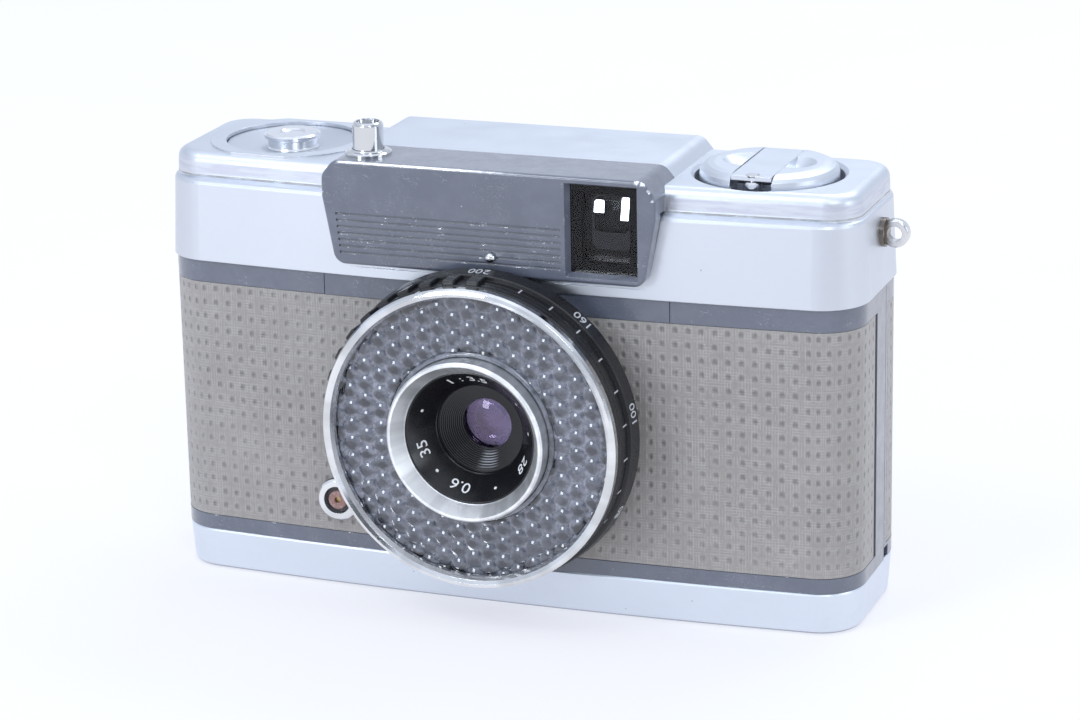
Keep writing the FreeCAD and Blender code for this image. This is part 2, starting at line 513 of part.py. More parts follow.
# --- shutter release --------------------------------------------------------------------
def release_parts():
    bx, by = BUTTON
    add("release_collar", lathe([(2.36, 0), (3.4, 0), (3.4, 0.35), (3.1, 0.55), (2.7, 0.62), (2.55, 0.8),
                                 (2.36, 0.8)], "z", bx, by, HUMP_Z))
    button = lathe([(0, -8.3), (1.2, -8.3), (1.2, -1.9), (2.27, -1.9), (2.27, 4.3), (2.1, 4.6), (1.85, 4.75),
                    (1.65, 4.75), (1.25, 2.0), (0, 2.0)], "z", bx, by, HUMP_Z)
    add("release_button", button)
    turns, lo, hi = 6, 60.15, 64.15
    helix = Part.makeHelix((hi - lo) / turns, hi - lo, 1.75)
    circle = Part.Wire(Part.makeCircle(0.2, V(1.75, 0, 0), Y))
    coil = Part.Wire(helix.Edges).makePipeShell([circle], True, True)
    add("release_spring", moved(coil, bx, by, lo))


# --- lens and exposure meter ------------------------------------------------------------
def lens_parts():
    flange = lens_lathe([(16.3, 12.2), (16.8, 12.2), (16.8, 15.5), (21.2, 15.5), (21.2, 18.4),
                         (17.45, 18.6), (17.45, 23.0), (16.3, 23.0)])
    flange = flange.cut(box(-30, 30, -16.35, -10, 48.55, 60).cut(rod(16.85, (0, -20, LENS_Z), Y, 12)))
    flange = flange.cut([rod(0.7, (x, -19, z), Y, 4) for x, z in screw_spots()])
    add("lens_flange", flange.cut([rod(1.32, (x, -19, z), Y, 1.6) for x, z in screw_spots()]))
    add("shutter_housing", lens_lathe([(7.2, 8.1), (16.2, 8.1), (16.2, 17.4), (7.2, 17.4)]).cut(
        lens_lathe([(7.0, 14.4), (15.7, 14.4), (15.7, 15.6), (7.0, 15.6)])))
    add("lens_barrel", lens_lathe([(4.2, 15.75), (7.1, 15.75), (7.1, 19.2), (9.5, 19.2), (9.5, 23.95),
                                   (7.2, 20.85), (6.6, 20.85), (6.6, 18.2), (4.2, 18.2)]))
    add("lens_rear_cell", lens_lathe([(5.0, 5.5), (7.1, 5.5), (7.1, 13.6), (5.6, 13.6), (5.6, 9.0), (5.0, 9.0)]))
    front = Part.makeSphere(9.0, V(0, -9.75, LENS_Z)).common(rod(4.15, (0, -16.85, LENS_Z), -Y, 5))
    add("lens_front_element", front.cut(Part.makeSphere(30.0, V(0, 12.65, LENS_Z))))
    disc = rod(4.19, (0, -15.85, LENS_Z), -Y, 0.95)
    middle = disc.cut([Part.makeSphere(12.0, V(0, -28.55, LENS_Z)), Part.makeSphere(12.0, V(0, -4.1, LENS_Z))])
    rear = Part.makeSphere(14.0, V(0, 2.6, LENS_Z)).common(rod(5.55, (0, -9.05, LENS_Z), -Y, 4.0))
    add("lens_inner_elements", Part.Compound([middle, rear]))
    n, r0, r1, s0, s1 = 12, 6.45, 3.75, 21.35, 18.65
    steps = [(3.7, 18.3), (6.55, 18.3), (6.55, s0)]
    for i in range(n):
        r, s = r0 - i * (r0 - r1) / n, s0 - i * (s0 - s1) / n
        steps += [(r, s), (r - 0.02, s - (s0 - s1) / n), (r - (r0 - r1) / n + 0.01, s - (s0 - s1) / n)]
    ring = lens_lathe([(6.6, 20.95), (7.2, 20.95), (9.8, 24.5), (9.8, 25.75), (9.6, 25.8), (6.75, 21.75),
                       (6.6, 21.6)])
    add("front_rings", Part.Compound([ring, lens_lathe(steps)]))
    add("inner_ring", lens_lathe([(9.86, 22.5), (11.7, 22.5), (11.86, 22.7), (11.86, 27.9), (11.6, 28.2),
                                  (11.25, 28.2), (9.95, 26.0), (9.86, 25.9)]))
    add("cell_holder", lens_lathe([(12.0, 23.1), (21.3, 23.1), (21.3, 25.3), (20.9, 25.3), (20.9, 24.4),
                                   (12.0, 24.4)]))
    add("selenium_cell", lens_lathe([(12.3, 24.42), (20.6, 24.42), (20.6, 24.85), (12.3, 24.85)]))
    add("bubble_window", lens_lathe([(11.95, 24.9), (20.88, 24.9), (20.88, 25.6), (11.95, 25.6)]))
    add("outer_bezel", lens_lathe([(20.9, 25.35), (22.1, 25.35), (22.3, 25.55), (22.3, 26.6), (22.05, 27.05),
                                   (21.6, 27.2), (21.1, 26.9), (20.7, 26.2), (20.6, 25.65), (20.9, 25.65)]))
    add("dial_ring", lens_lathe([(17.5, 18.9), (23.15, 18.9), (23.3, 19.05), (23.05, 21.45), (22.9, 21.6),
                                 (22.4, 21.65), (22.4, 22.9), (22.25, 22.95), (22.25, 23.05), (22.4, 23.1),
                                 (22.4, 24.1), (22.25, 24.15), (22.25, 24.25), (22.4, 24.3), (22.4, 25.1),
                                 (22.25, 25.25), (21.4, 25.25), (21.4, 23.0), (17.5, 23.0)]))
    add("shutter_blade_left", shutter_blade(-1))
    add("shutter_blade_right", shutter_blade(1))


def shutter_blade(side):
    """Thin leaf that swings about its pivot and crosses the lens axis when shut."""
    s0 = 14.55 if side < 0 else 15.15
    px, pz = side * 10.5, LENS_Z + 9.0
    leaf = rod(4.6, (side * 3.6, -s0, LENS_Z), -Y, 0.3).fuse(rod(1.4, (px, -s0, pz), -Y, 0.3))
    length = math.hypot(6.9, 9.0)
    arm = box(-0.9, 0.9, -s0 - 0.3, -s0, -length, 0)
    arm.rotate(V(0, 0, 0), Y, side * math.degrees(math.atan2(6.9, 9.0)))
    return leaf.fuse(moved(arm, px, 0, pz)).removeSplitter()


def meter_parts():
    drum = tube(4.6, 1.2, (2.0, -4.0, 49.2), Z, 5.6).fuse(box(-3.5, 7.5, -5.5, -2.5, 48.5, 49.4))
    add("galvanometer", drum.fuse(rod(2.0, (2.0, -4.0, 49.2), Z, 0.8)).removeSplitter())
    needle = rod(0.5, (2.0, -4.0, 50.3), Z, 5.4).fuse(box(1.8, 2.2, -13.0, -3.9, 55.2, 55.4))
    add("meter_needle", needle.removeSplitter())
    flag = box(FLAG_X - 0.8, FLAG_X + 0.8, -6.15, -5.85, 51.5, 60.5)
    flag = flag.fuse(rod(1.2, (FLAG_X, -6.15, 51.5), Y, 0.3))
    add("warning_flag", flag.removeSplitter().cut(rod(0.5, (FLAG_X, -7, 51.5), Y, 2)))


def screws():
    """Cheese-head screws that hold the lens flange to the casting."""
    out = []
    for x, z in screw_spots():
        head = rod(1.3, (x, -17.45, z), -Y, 0.8).fuse(rod(0.7, (x, -8.5, z), -Y, 9.0))
        slot = box(x - 1.4, x + 1.4, -18.3, -17.9, z - 0.15, z + 0.15)
        out.append(head.cut(slot).removeSplitter())
    add("flange_screws", Part.Compound(out))


def main():
    os.makedirs("parts", exist_ok=True)
    add("top_cover", top_cover())
    add("front_hood", front_hood())
    finder_parts()
    body_parts()
    back_parts()
    transport_parts()
    rewind_parts()
    release_parts()
    lens_parts()
    meter_parts()
    screws()
    for name, shape in PARTS.items():
        if not shape.isValid():
            print("INVALID", name)
        if any(s.Volume <= 0 for s in shape.Solids) or not shape.Solids:
            print("BAD VOLUME", name, [s.Volume for s in shape.Solids])
        out = shape.Solids[0] if len(shape.Solids) == 1 else Part.Compound(shape.Solids)
        print(name, len(shape.Solids), round(sum(s.Volume for s in shape.Solids), 1))
        out.exportStep(os.path.join("parts", name + ".step"))


main()
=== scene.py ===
import math

import bmesh
import bpy
from mathutils import Matrix, Vector


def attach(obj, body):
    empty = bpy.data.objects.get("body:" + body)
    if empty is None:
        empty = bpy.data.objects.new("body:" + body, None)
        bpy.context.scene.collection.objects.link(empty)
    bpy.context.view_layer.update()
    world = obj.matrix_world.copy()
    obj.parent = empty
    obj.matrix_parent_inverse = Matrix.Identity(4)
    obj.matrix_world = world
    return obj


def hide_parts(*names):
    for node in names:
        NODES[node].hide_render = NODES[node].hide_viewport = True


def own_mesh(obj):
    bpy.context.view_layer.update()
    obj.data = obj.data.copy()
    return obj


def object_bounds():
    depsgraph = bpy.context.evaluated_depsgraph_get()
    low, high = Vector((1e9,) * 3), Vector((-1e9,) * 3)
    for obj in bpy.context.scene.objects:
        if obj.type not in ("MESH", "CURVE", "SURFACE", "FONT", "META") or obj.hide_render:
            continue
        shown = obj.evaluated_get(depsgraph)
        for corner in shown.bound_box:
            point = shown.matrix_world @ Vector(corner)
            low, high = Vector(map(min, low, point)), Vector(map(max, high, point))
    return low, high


# Half frame camera: finishes for the CAD nodes, pieces that ride on its bodies, and the studio round it.
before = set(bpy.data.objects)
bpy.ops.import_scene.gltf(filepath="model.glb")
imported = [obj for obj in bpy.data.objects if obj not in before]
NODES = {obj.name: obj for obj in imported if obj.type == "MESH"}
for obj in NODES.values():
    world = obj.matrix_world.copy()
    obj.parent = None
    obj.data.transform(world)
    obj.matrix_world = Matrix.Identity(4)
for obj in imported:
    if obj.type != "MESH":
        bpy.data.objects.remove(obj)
CAD_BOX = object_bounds()
SCENE = bpy.context.scene
MM = 0.001

# Places and sizes on the part, in millimetres of the row frame. "Out" is how far something lies
# in front of the plane y = 0.
LENS_Z = 29.2                                # height of the lens axis
COVER_STEP_Z = 61.08                         # where the ends of the top cover step inwards
SOCKET_X, SOCKET_Z = -25.4, 13.8             # centre of the flash socket
CORNER_X, CORNER_RADIUS = 46.4, 7.1          # the covering is flat up to this x, then turns with this radius
FRONT_CORNER_Y, BACK_CORNER_Y = -8.35, 6.8   # centres of those turns
PIT_U, PIT_V = 1.94, 2.12                    # spacing of the dimples in the covering, along and up
THREAD = 0.43                                # spacing of the threads of its cloth
PITCH = 2.65                                 # spacing of the domes in the meter window
WINDOW_BACK, WINDOW_BASE = 24.9, 24.95       # out: back face of that window, and foot of its domes
WINDOW_IN, WINDOW_OUT = 12.72, 20.88         # radii between which it has domes
DIAL_BAND = ((19.05, 23.3), (21.45, 23.05))  # (out, radius) at both edges of the dial's band of figures
DIAL_FRONT_R = 22.4                          # radius of the dial in front of that band

CHROME = (0.66, 0.69, 0.745)


def scaled(values, k):
    return tuple(k * v for v in values)


# --- shader building --------------------------------------------------------------------
class Shader:
    """One procedural material; positions are read in millimetres of the row frame."""

    def __init__(self, name):
        self.material = bpy.data.materials.new(name)
        self.material.use_nodes = True
        self.tree = self.material.node_tree
        self.bsdf = self.tree.nodes["Principled BSDF"]
        self.mm = self.vec("SCALE", self.node("TexCoord").outputs["Object"], scale=1000.0)

    def node(self, kind):
        return self.tree.nodes.new("ShaderNode" + kind)

    def put(self, socket, value):
        if isinstance(value, bpy.types.NodeSocket):
            self.tree.links.new(value, socket)
        else:
            socket.default_value = value

    def set(self, **values):
        for key, value in values.items():
            name = key.replace("_", " ").title().replace("Ior", "IOR")
            if key in ("base_color", "specular_tint") and isinstance(value, tuple):
                value = (*value, 1.0)
            self.put(self.bsdf.inputs[name], value)

    def vec(self, op, a, b=None, scale=None):
        n = self.node("VectorMath")
        n.operation = op
        self.put(n.inputs[0], a)
        if b is not None:
            self.put(n.inputs[1], b)
        if scale is not None:
            n.inputs["Scale"].default_value = scale
        return n.outputs["Value" if op in ("DOT_PRODUCT", "LENGTH", "DISTANCE") else "Vector"]

    def math(self, op, a, b=0.0, c=0.0, clamp=False):
        n = self.node("Math")
        n.operation = op
        n.use_clamp = clamp
        for socket, value in zip(n.inputs, (a, b, c)):
            self.put(socket, value)
        return n.outputs[0]

    def add(self, a, b, clamp=False):
        return self.math("ADD", a, b, clamp=clamp)

    def sub(self, a, b, clamp=False):
        return self.math("SUBTRACT", a, b, clamp=clamp)

    def mul(self, first, *others):
        for other in others:
            first = self.math("MULTIPLY", first, other)
        return first

    def largest(self, a, b, clamp=False):
        return self.math("MAXIMUM", a, b, clamp=clamp)

    def absolute(self, a):
        return self.math("ABSOLUTE", a)

    def axes(self):
        n = self.node("SeparateXYZ")
        self.put(n.inputs[0], self.mm)
        return n.outputs

    def combine(self, x, y):
        """The vector (x, y, 0)."""
        n = self.node("CombineXYZ")
        for socket, value in zip(n.inputs, (x, y)):
            self.put(socket, value)
        return n.outputs[0]

    def length(self, x, y):
        return self.vec("LENGTH", self.combine(x, y))

    def round_lens(self):
        """Place across the lens axis, place above it, and distance from it."""
        x, _, z = self.axes()
        up = self.sub(z, LENS_Z)
        return x, up, self.length(x, up)

    def stretch(self, scale, vector=None):
        return self.vec("MULTIPLY", self.mm if vector is None else vector, scale)

    def noise(self, scale, detail=3.0, rough=0.5, vector=None):
        n = self.node("TexNoise")
        self.put(n.inputs["Vector"], self.mm if vector is None else vector)
        for key, value in (("Scale", scale), ("Detail", detail), ("Roughness", rough)):
            n.inputs[key].default_value = value
        return n.outputs["Fac"]

    def cells(self, scale):
        """Distance from the nearest of many scattered points."""
        n = self.node("TexVoronoi")
        self.put(n.inputs["Vector"], self.mm)
        n.inputs["Scale"].default_value = scale
        return n.outputs["Distance"]

    def span(self, value, lo, hi, to_lo=0.0, to_hi=1.0):
        """Goes smoothly from to_lo to to_hi while the value goes from lo to hi."""
        n = self.node("MapRange")
        n.interpolation_type = "SMOOTHSTEP"
        for socket, v in zip(n.inputs, (value, lo, hi, to_lo, to_hi)):
            self.put(socket, v)
        return n.outputs[0]

    def mix(self, fac, a, b):
        n = self.node("Mix")
        n.data_type = "RGBA"
        self.put(n.inputs["Factor"], fac)
        for socket, value in ((n.inputs[6], a), (n.inputs[7], b)):
            self.put(socket, (*value, 1.0) if isinstance(value, tuple) else value)
        return n.outputs[2]

    def bevel(self, radius):
        n = self.node("Bevel")
        n.samples = 4
        n.inputs["Radius"].default_value = radius * MM
        return n.outputs[0]

    def edges(self, radius, lo=0.02, hi=0.22):
        """About 1 along the edges of the solid, 0 on its faces."""
        facing = self.node("NewGeometry").outputs["Normal"]
        bent = self.sub(1.0, self.vec("DOT_PRODUCT", self.bevel(radius), facing))
        return self.span(bent, lo, hi)

    def bump(self, height, distance, strength=1.0, normal=None):
        n = self.node("Bump")
        n.inputs["Strength"].default_value = strength
        n.inputs["Distance"].default_value = distance * MM
        self.put(n.inputs["Height"], height)
        if normal is not None:
            self.put(n.inputs["Normal"], normal)
        return n.outputs[0]

    def scratches(self, scale=0.35, amount=0.015):
        """Fine hairlines that run several ways over the surface."""
        found = None
        for k, stretch in enumerate(((0.22, 9.0, 5.0), (7.0, 0.3, 6.0), (4.2, 5.0, 0.25))):
            turn = self.node("VectorRotate")
            turn.rotation_type = "EULER_XYZ"
            self.put(turn.inputs["Vector"], self.mm)
            turn.inputs["Rotation"].default_value = (0.5 + k, 0.8 * k + 0.2, 1.1 * k - 0.4)
            line = self.noise(scale, 1.0, 0.4, self.stretch(stretch, turn.outputs[0]))
            line = self.span(self.absolute(self.sub(line, 0.5)), 0.0, amount, 1.0, 0.0)
            line = self.mul(line, self.span(self.noise(0.16 + 0.05 * k, 1.0, 0.5), 0.52, 0.66))
            found = line if found is None else self.largest(found, line)
        return found


# --- materials --------------------------------------------------------------------------
def satin_metal(name, colour, rough, grain=0.012, edge=0.15, marks=None):
    """Fine blasted and plated metal with handling marks, rubbed brighter along its edges.

    The last argument, a function of (s, tint), may change the tint of one part, painted shade included, and
    returns the new tint."""
    s = Shader(name)
    smear = s.noise(0.35, 4.0, 0.6, s.stretch((0.6, 1.0, 1.6)))
    hair = s.mul(s.scratches(), s.span(s.noise(0.12, 1.0), 0.5, 0.62))
    fine = s.noise(7.0, 2.0, 0.6)
    low = s.span(s.noise(0.09, 4.0, 0.6), 0.3, 0.7, rough - 0.03, rough + 0.04)
    low = s.add(low, s.span(smear, 0.35, 0.75, -0.015, 0.03))
    low = s.add(low, s.mul(fine, 0.03))
    low = s.sub(low, s.mul(s.edges(edge * 2.0, 0.02, 0.2), 0.12))
    dots = s.span(s.cells(0.42), 0.03, 0.075, 1.0, 0.0)
    dots = s.mul(dots, s.span(s.noise(0.3, 1.0), 0.55, 0.62))
    tint = s.mix(s.span(smear, 0.5, 0.9, 0.0, 0.2), colour, (0.62, 0.63, 0.66))
    tint = s.mix(s.mul(dots, 0.5), tint, (0.2, 0.2, 0.22))
    if marks:
        tint = marks(s, tint)
    height = s.add(fine, s.mul(s.noise(2.1, 3.0), 0.8))
    height = s.sub(height, s.mul(hair, 0.6))
    s.set(metallic=1.0, base_color=tint, roughness=s.sub(low, s.mul(hair, 0.06), clamp=True),
          normal=s.bump(height, grain, 0.4, s.bevel(edge)))
    return s.material


def cover_tone_and_shade(s, tint):
    """On the ends of the top cover: a duller riser, and painted shade in the step and in the corner against
    the raised middle.
    """
    x, _, z = s.axes()
    across = s.absolute(x)
    on_end = s.span(across, 25.2, 25.5)
    # painted shade: a dark line along the step
    step_shade = s.span(s.absolute(s.sub(z, COVER_STEP_Z)), 0.06, 0.17, 1.0, 0.0)
    step_shade = s.mul(step_shade, s.span(s.noise(0.5, 3.0), 0.3, 0.6, 0.3, 0.72))
    # painted shade in the corner against the raised middle
    corner = s.mul(s.span(across, 25.6, 27.4, 1.0, 0.0), s.span(z, 61.0, 61.1),
                   s.span(z, 63.0, 63.9, 1.0, 0.0), s.span(s.noise(0.9, 4.0), 0.35, 0.6, 0.2, 0.75))
    riser = s.mul(s.span(z, 61.3, 61.7), s.span(z, 62.9, 63.6, 1.0, 0.0), on_end)
    streaks = s.noise(0.7, 4.0, 0.6, s.stretch((0.3, 0.3, 3.0)))
    tint = s.mix(s.mul(riser, s.span(streaks, 0.4, 0.6)), tint, (0.594, 0.6072, 0.69285))
    return s.mix(s.mul(s.largest(step_shade, corner), on_end), tint, (0.27, 0.265, 0.25))


def painted_foot_shade(s, tint):
    """Painted shade: a dark line low on the base plate, where it stands on the table."""
    z = s.axes()[2]
    # painted shade along the foot
    line = s.mul(s.span(z, 0.02, 0.07), s.span(z, 0.22, 0.45, 0.7, 0.0))
    return s.mix(line, tint, (0.2, 0.21, 0.26))


def socket_resin():
    """Flash socket filling: dark grey round the edge, with a worn reddish brown sleeve in the middle."""
    s = Shader("socket_resin")
    x, _, z = s.axes()
    r = s.length(s.sub(x, SOCKET_X), s.sub(z, SOCKET_Z))
    grime = s.noise(2.2, 4.0, 0.7)
    sleeve = s.mix(s.span(grime, 0.35, 0.7), (0.27, 0.13, 0.115), (0.42, 0.29, 0.265))
    s.set(base_color=s.mix(s.span(r, 1.38, 1.46), sleeve, (0.09, 0.092, 0.1)),
          roughness=s.span(grime, 0.3, 0.7, 0.35, 0.55), normal=s.bump(grime, 0.015, 0.5, s.bevel(0.08)))
    return s.material


def lens_black():
    """Glossy black of the front ring and of the threaded cone, with a painted highlight: a fan of light on
    the thread below the axis.
    """
    s = Shader("lens_black")
    x, up, r = s.round_lens()
    # painted highlight: brighter thread crests in a fan below the axis
    turn = s.math("ARCTAN2", x, s.mul(up, -1.0))
    fan = s.span(s.absolute(s.sub(turn, 0.14)), 0.08, 0.34, 1.0, 0.0)
    crests = s.span(s.math("SINE", s.mul(r, math.tau / 0.31)), -0.1, 0.9)
    on_cone = s.mul(s.span(r, 3.9, 4.3), s.span(r, 5.5, 6.45, 1.0, 0.0))
    painted_thread_glint = s.mul(fan, crests, on_cone, 0.85)
    dust = s.noise(4.0, 5.0, 0.75)
    tone = s.mix(s.mul(s.span(dust, 0.62, 0.78), 0.25), (0.009, 0.009, 0.011), (0.06, 0.06, 0.065))
    s.set(base_color=s.mix(painted_thread_glint, tone, (0.5, 0.52, 0.58)),
          roughness=s.span(s.noise(0.7, 4.0, 0.6), 0.3, 0.75, 0.16, 0.27),
          normal=s.bump(dust, 0.004, 0.5, s.bevel(0.08)))
    return s.material


def lug_nickel():
    """Small nickel fittings, browned with old grime where they meet the side of the cover."""
    s = Shader("lug_nickel")
    haze = s.noise(1.2, 4.0, 0.6)
    root = s.span(s.add(s.absolute(s.axes()[0]), s.mul(haze, 0.8)), 54.1, 55.6, 1.0, 0.0)
    s.set(metallic=1.0, base_color=s.mix(root, (0.72, 0.715, 0.72), (0.2, 0.175, 0.15)),
          roughness=s.span(haze, 0.3, 0.7, 0.2, 0.34), normal=s.bump(haze, 0.01, 0.5, s.bevel(0.12)))
    return s.material


def polished_metal(name, colour, rough, turned=False):
    """Bright plating: nearly a mirror, hazed by wear. Turned parts have fine rings and a fan of streaks."""
    s = Shader(name)
    haze = s.noise(0.7, 5.0, 0.62)
    hair = s.scratches(0.5, 0.012)
    height = s.add(s.mul(s.noise(1.1, 3.0), 0.6), s.mul(hair, -0.5))
    if turned:
        x, up, r = s.round_lens()
        rings = s.noise(9.0, 2.0, 0.6, s.combine(r, s.axes()[1]))
        height = s.add(height, s.mul(rings, 0.8))
        direction = s.vec("SCALE", s.vec("NORMALIZE", s.combine(x, up)), scale=2.4)
        streak = s.mul(s.span(s.noise(1.1, 3.0, 0.6, direction), 0.4, 0.62), 0.55)
        tone = s.mix(streak, colour, scaled(colour, 0.62))
    else:
        tone = s.mix(s.span(haze, 0.45, 0.8, 0.0, 0.5), colour, scaled(colour, 0.8))
    s.set(metallic=1.0, base_color=tone, normal=s.bump(height, 0.006, 0.5, s.bevel(0.08)),
          roughness=s.add(s.span(haze, 0.35, 0.75, rough, rough + 0.09), s.mul(hair, 0.1)))
    return s.material


def worn_paint(name, colour, light, lines, spots):
    """Semi-gloss stoved paint over bright metal, chipped where hands and cases rub it.

    lines are worn edges that run along x: (x limits, y, z, width); spots are bare chips: (place, size)."""
    s = Shader(name)
    metal, rough, edge = (0.82, 0.83, 0.85), 0.34, 0.16
    dust = s.noise(5.5, 4.0, 0.7)
    hair = s.scratches(0.4, 0.01)
    ragged = s.add(s.noise(0.55, 5.0, 0.7), s.mul(s.noise(3.2, 4.0, 0.7), 0.35))
    chip = s.mul(s.edges(edge * 1.6, 0.03, 0.2), s.span(ragged, 0.76, 0.83))
    nick = s.span(s.cells(0.55), 0.045, 0.08, 1.0, 0.0)
    nick = s.mul(nick, s.span(s.noise(0.35, 2.0), 0.56, 0.64), 0.5)
    bare = s.largest(chip, nick, clamp=True)
    x, y, z = s.axes()
    for (start, end), y0, z0, width in lines:
        gap = s.length(s.sub(y, y0), s.sub(z, z0))
        gap = s.add(gap, s.mul(s.noise(1.4, 4.0, 0.7), width))
        line = s.span(gap, width * 0.9, width * 1.25, 1.0, 0.0)
        line = s.mul(line, s.span(x, start, start + 1.0))
        line = s.mul(line, s.span(s.add(x, s.mul(ragged, 9.0)), end - 6.0, end + 6.0, 1.0, 0.0))
        bare = s.largest(bare, line)
    for place, size in spots:
        gap = s.add(s.vec("DISTANCE", s.mm, place), s.mul(s.noise(2.6, 5.0, 0.8), size * 3.0))
        bare = s.largest(bare, s.span(gap, size * 2.0, size * 2.25, 1.0, 0.0))
    tone = s.mix(s.span(s.noise(0.25, 4.0, 0.6), 0.35, 0.7), colour, light)
    tone = s.mix(s.mul(hair, 0.35, s.span(dust, 0.4, 0.6)), tone, metal)
    low = s.span(s.noise(0.4, 5.0, 0.65), 0.3, 0.75, rough - 0.06, rough + 0.1)
    height = s.add(s.noise(1.6, 3.0, 0.55), s.mul(dust, 0.25))
    height = s.sub(height, s.mul(bare, 1.6))
    height = s.sub(height, s.mul(hair, 0.4))
    s.set(base_color=s.mix(bare, tone, metal), metallic=bare, roughness=s.sub(low, s.mul(bare, 0.1)),
          normal=s.bump(height, 0.012, 0.6, s.bevel(edge)), specular_ior_level=0.5,
          coat_weight=s.sub(0.9, s.mul(bare, 0.8)), coat_roughness=0.16, coat_ior=1.62)
    return s.material


def dark_finish(name, colour, rough, grain=0.01, grey=None, shine=0.5):
    """Black anodised, enamelled or moulded surfaces with dust and light rubbing on edges."""
    s = Shader(name)
    grey = grey or tuple(min(1.0, c * 3.5 + 0.03) for c in colour)
    dust = s.noise(3.5, 5.0, 0.75)
    rub = s.mul(s.edges(0.15), s.span(s.noise(0.8, 4.0, 0.7), 0.5, 0.68), 0.7)
    speck = s.mul(s.span(dust, 0.6, 0.78), 0.3)
    low = s.span(s.noise(0.6, 4.0, 0.6), 0.3, 0.75, rough - 0.05, rough + 0.1)
    height = s.add(s.noise(6.0, 3.0, 0.6), s.mul(s.noise(1.3, 2.0), 0.6))
    s.set(base_color=s.mix(s.largest(rub, speck), colour, grey), roughness=s.add(low, s.mul(dust, 0.06)),
          specular_ior_level=shine, normal=s.bump(height, grain, 0.6, s.bevel(0.1)))
    return s.material


def leatherette(name, back):
    """Embossed cloth-backed covering: a square grid of dimples over a fine weave, wrapped round the ends."""
    s = Shader(name)
    x, y, z = s.axes()
    side = s.sub(s.absolute(x), CORNER_X)
    depth = s.sub(y, BACK_CORNER_Y) if back else s.sub(FRONT_CORNER_Y, y)
    angle = s.math("ARCTAN2", s.largest(side, 0.0), s.largest(depth, 0.0001))
    along = s.add(s.math("MINIMUM", s.absolute(x), CORNER_X), s.mul(angle, CORNER_RADIUS))
    along = s.add(along, s.largest(s.mul(depth, -1.0), 0.0))
    waver = s.mul(s.sub(s.noise(0.12, 2.0), 0.5), 0.5)
    u = s.add(s.mul(along, s.math("SIGN", x)), waver)
    v = s.add(z, s.mul(waver, 0.6))
    du = s.math("PINGPONG", u, PIT_U / 2)
    dv = s.math("PINGPONG", s.add(v, 0.25), PIT_V / 2)

    def pit(half_u, half_v, power):
        """1 in the middle of every dimple, 0 well outside the half sizes."""
        reach = s.add(s.math("POWER", s.math("DIVIDE", du, half_u), power),
                      s.math("POWER", s.math("DIVIDE", dv, half_v), power))
        return s.math("EXPONENT", s.mul(reach, -1.0))

    dimple = pit(0.36, 0.45, 2.6)
    rim = s.sub(pit(0.68, 0.8, 3.0), dimple, clamp=True)
    weft = s.math("COSINE", s.mul(u, math.tau / THREAD))
    warp = s.math("COSINE", s.mul(v, math.tau / THREAD))
    weave = s.mul(weft, warp)
    thread = s.largest(s.mul(s.span(weft, 0.35, 0.95), s.span(s.noise(0.8, 2.0), 0.42, 0.6)),
                       s.mul(s.span(warp, 0.35, 0.95), s.span(s.noise(0.55, 2.0), 0.45, 0.62)))
    height = s.add(s.mul(weave, 0.1), s.mul(s.noise(5.0, 4.0, 0.7), 0.3))
    height = s.add(height, s.mul(thread, 0.12))
    height = s.sub(height, s.mul(dimple, 1.05))
    height = s.add(height, s.mul(rim, 0.4))
    area = s.span(s.noise(0.06, 3.0, 0.6), 0.36, 0.66)
    # darker in the dimples and in the troughs of the weave, by an amount that varies with noise
    pit_fade = s.add(s.mul(s.noise(0.9, 3.0, 0.6), 0.5), s.mul(area, 0.5))
    recess_darkening = s.mul(dimple, s.span(pit_fade, 0.3, 0.75, 0.46, 0.12))
    recess_darkening = s.add(recess_darkening, s.mul(s.span(weave, -0.9, -0.1, 1.0, 0.0), 0.1), clamp=True)
    patch = s.span(s.noise(0.07, 4.0, 0.6), 0.35, 0.68)
    tone = s.mix(patch, (0.285, 0.262, 0.247), (0.32, 0.297, 0.282))
    tone = s.mix(s.span(s.noise(2.6, 4.0, 0.7), 0.45, 0.75, 0.0, 0.4), tone, (0.4, 0.38, 0.365))
    tone = s.mix(s.add(s.mul(rim, 0.34), s.mul(thread, 0.44), clamp=True), tone, (0.5, 0.49, 0.48))
    s.set(base_color=s.mix(recess_darkening, tone, (0.1, 0.095, 0.095)), specular_ior_level=0.5, sheen_weight=0.25,
          sheen_roughness=0.5, roughness=s.span(s.noise(0.5, 4.0, 0.6), 0.3, 0.75, 0.4, 0.56),
          normal=s.bump(height, 0.2))
    return s.material


def clear_glass(name, colour, ior, tint=(1.0, 1.0, 1.0)):
    """Optical glass with faint cleaning marks; the tint is the colour its coating reflects."""
    s = Shader(name)
    smear = s.noise(0.35, 5.0, 0.7, s.stretch((1.0, 1.0, 2.2)))
    s.set(base_color=colour, transmission_weight=1.0, ior=ior, specular_tint=tint,
          roughness=s.span(smear, 0.5, 0.85, 0.0, 0.05), normal=s.bump(s.noise(2.0, 3.0), 0.0012, 0.3))
    return s.material


def light_metal(name, colour, rough):
    """Turned or stamped bare metal."""
    s = Shader(name)
    cloud = s.noise(0.6, 4.0, 0.6)
    lines = s.noise(3.0, 3.0, 0.6, s.stretch((1.0, 1.0, 6.0)))
    s.set(metallic=1.0, base_color=s.mix(s.span(cloud, 0.4, 0.75), colour, scaled(colour, 0.72)),
          roughness=s.span(cloud, 0.3, 0.75, rough - 0.05, rough + 0.12),
          normal=s.bump(lines, 0.01, 0.6, s.bevel(0.06)))
    return s.material


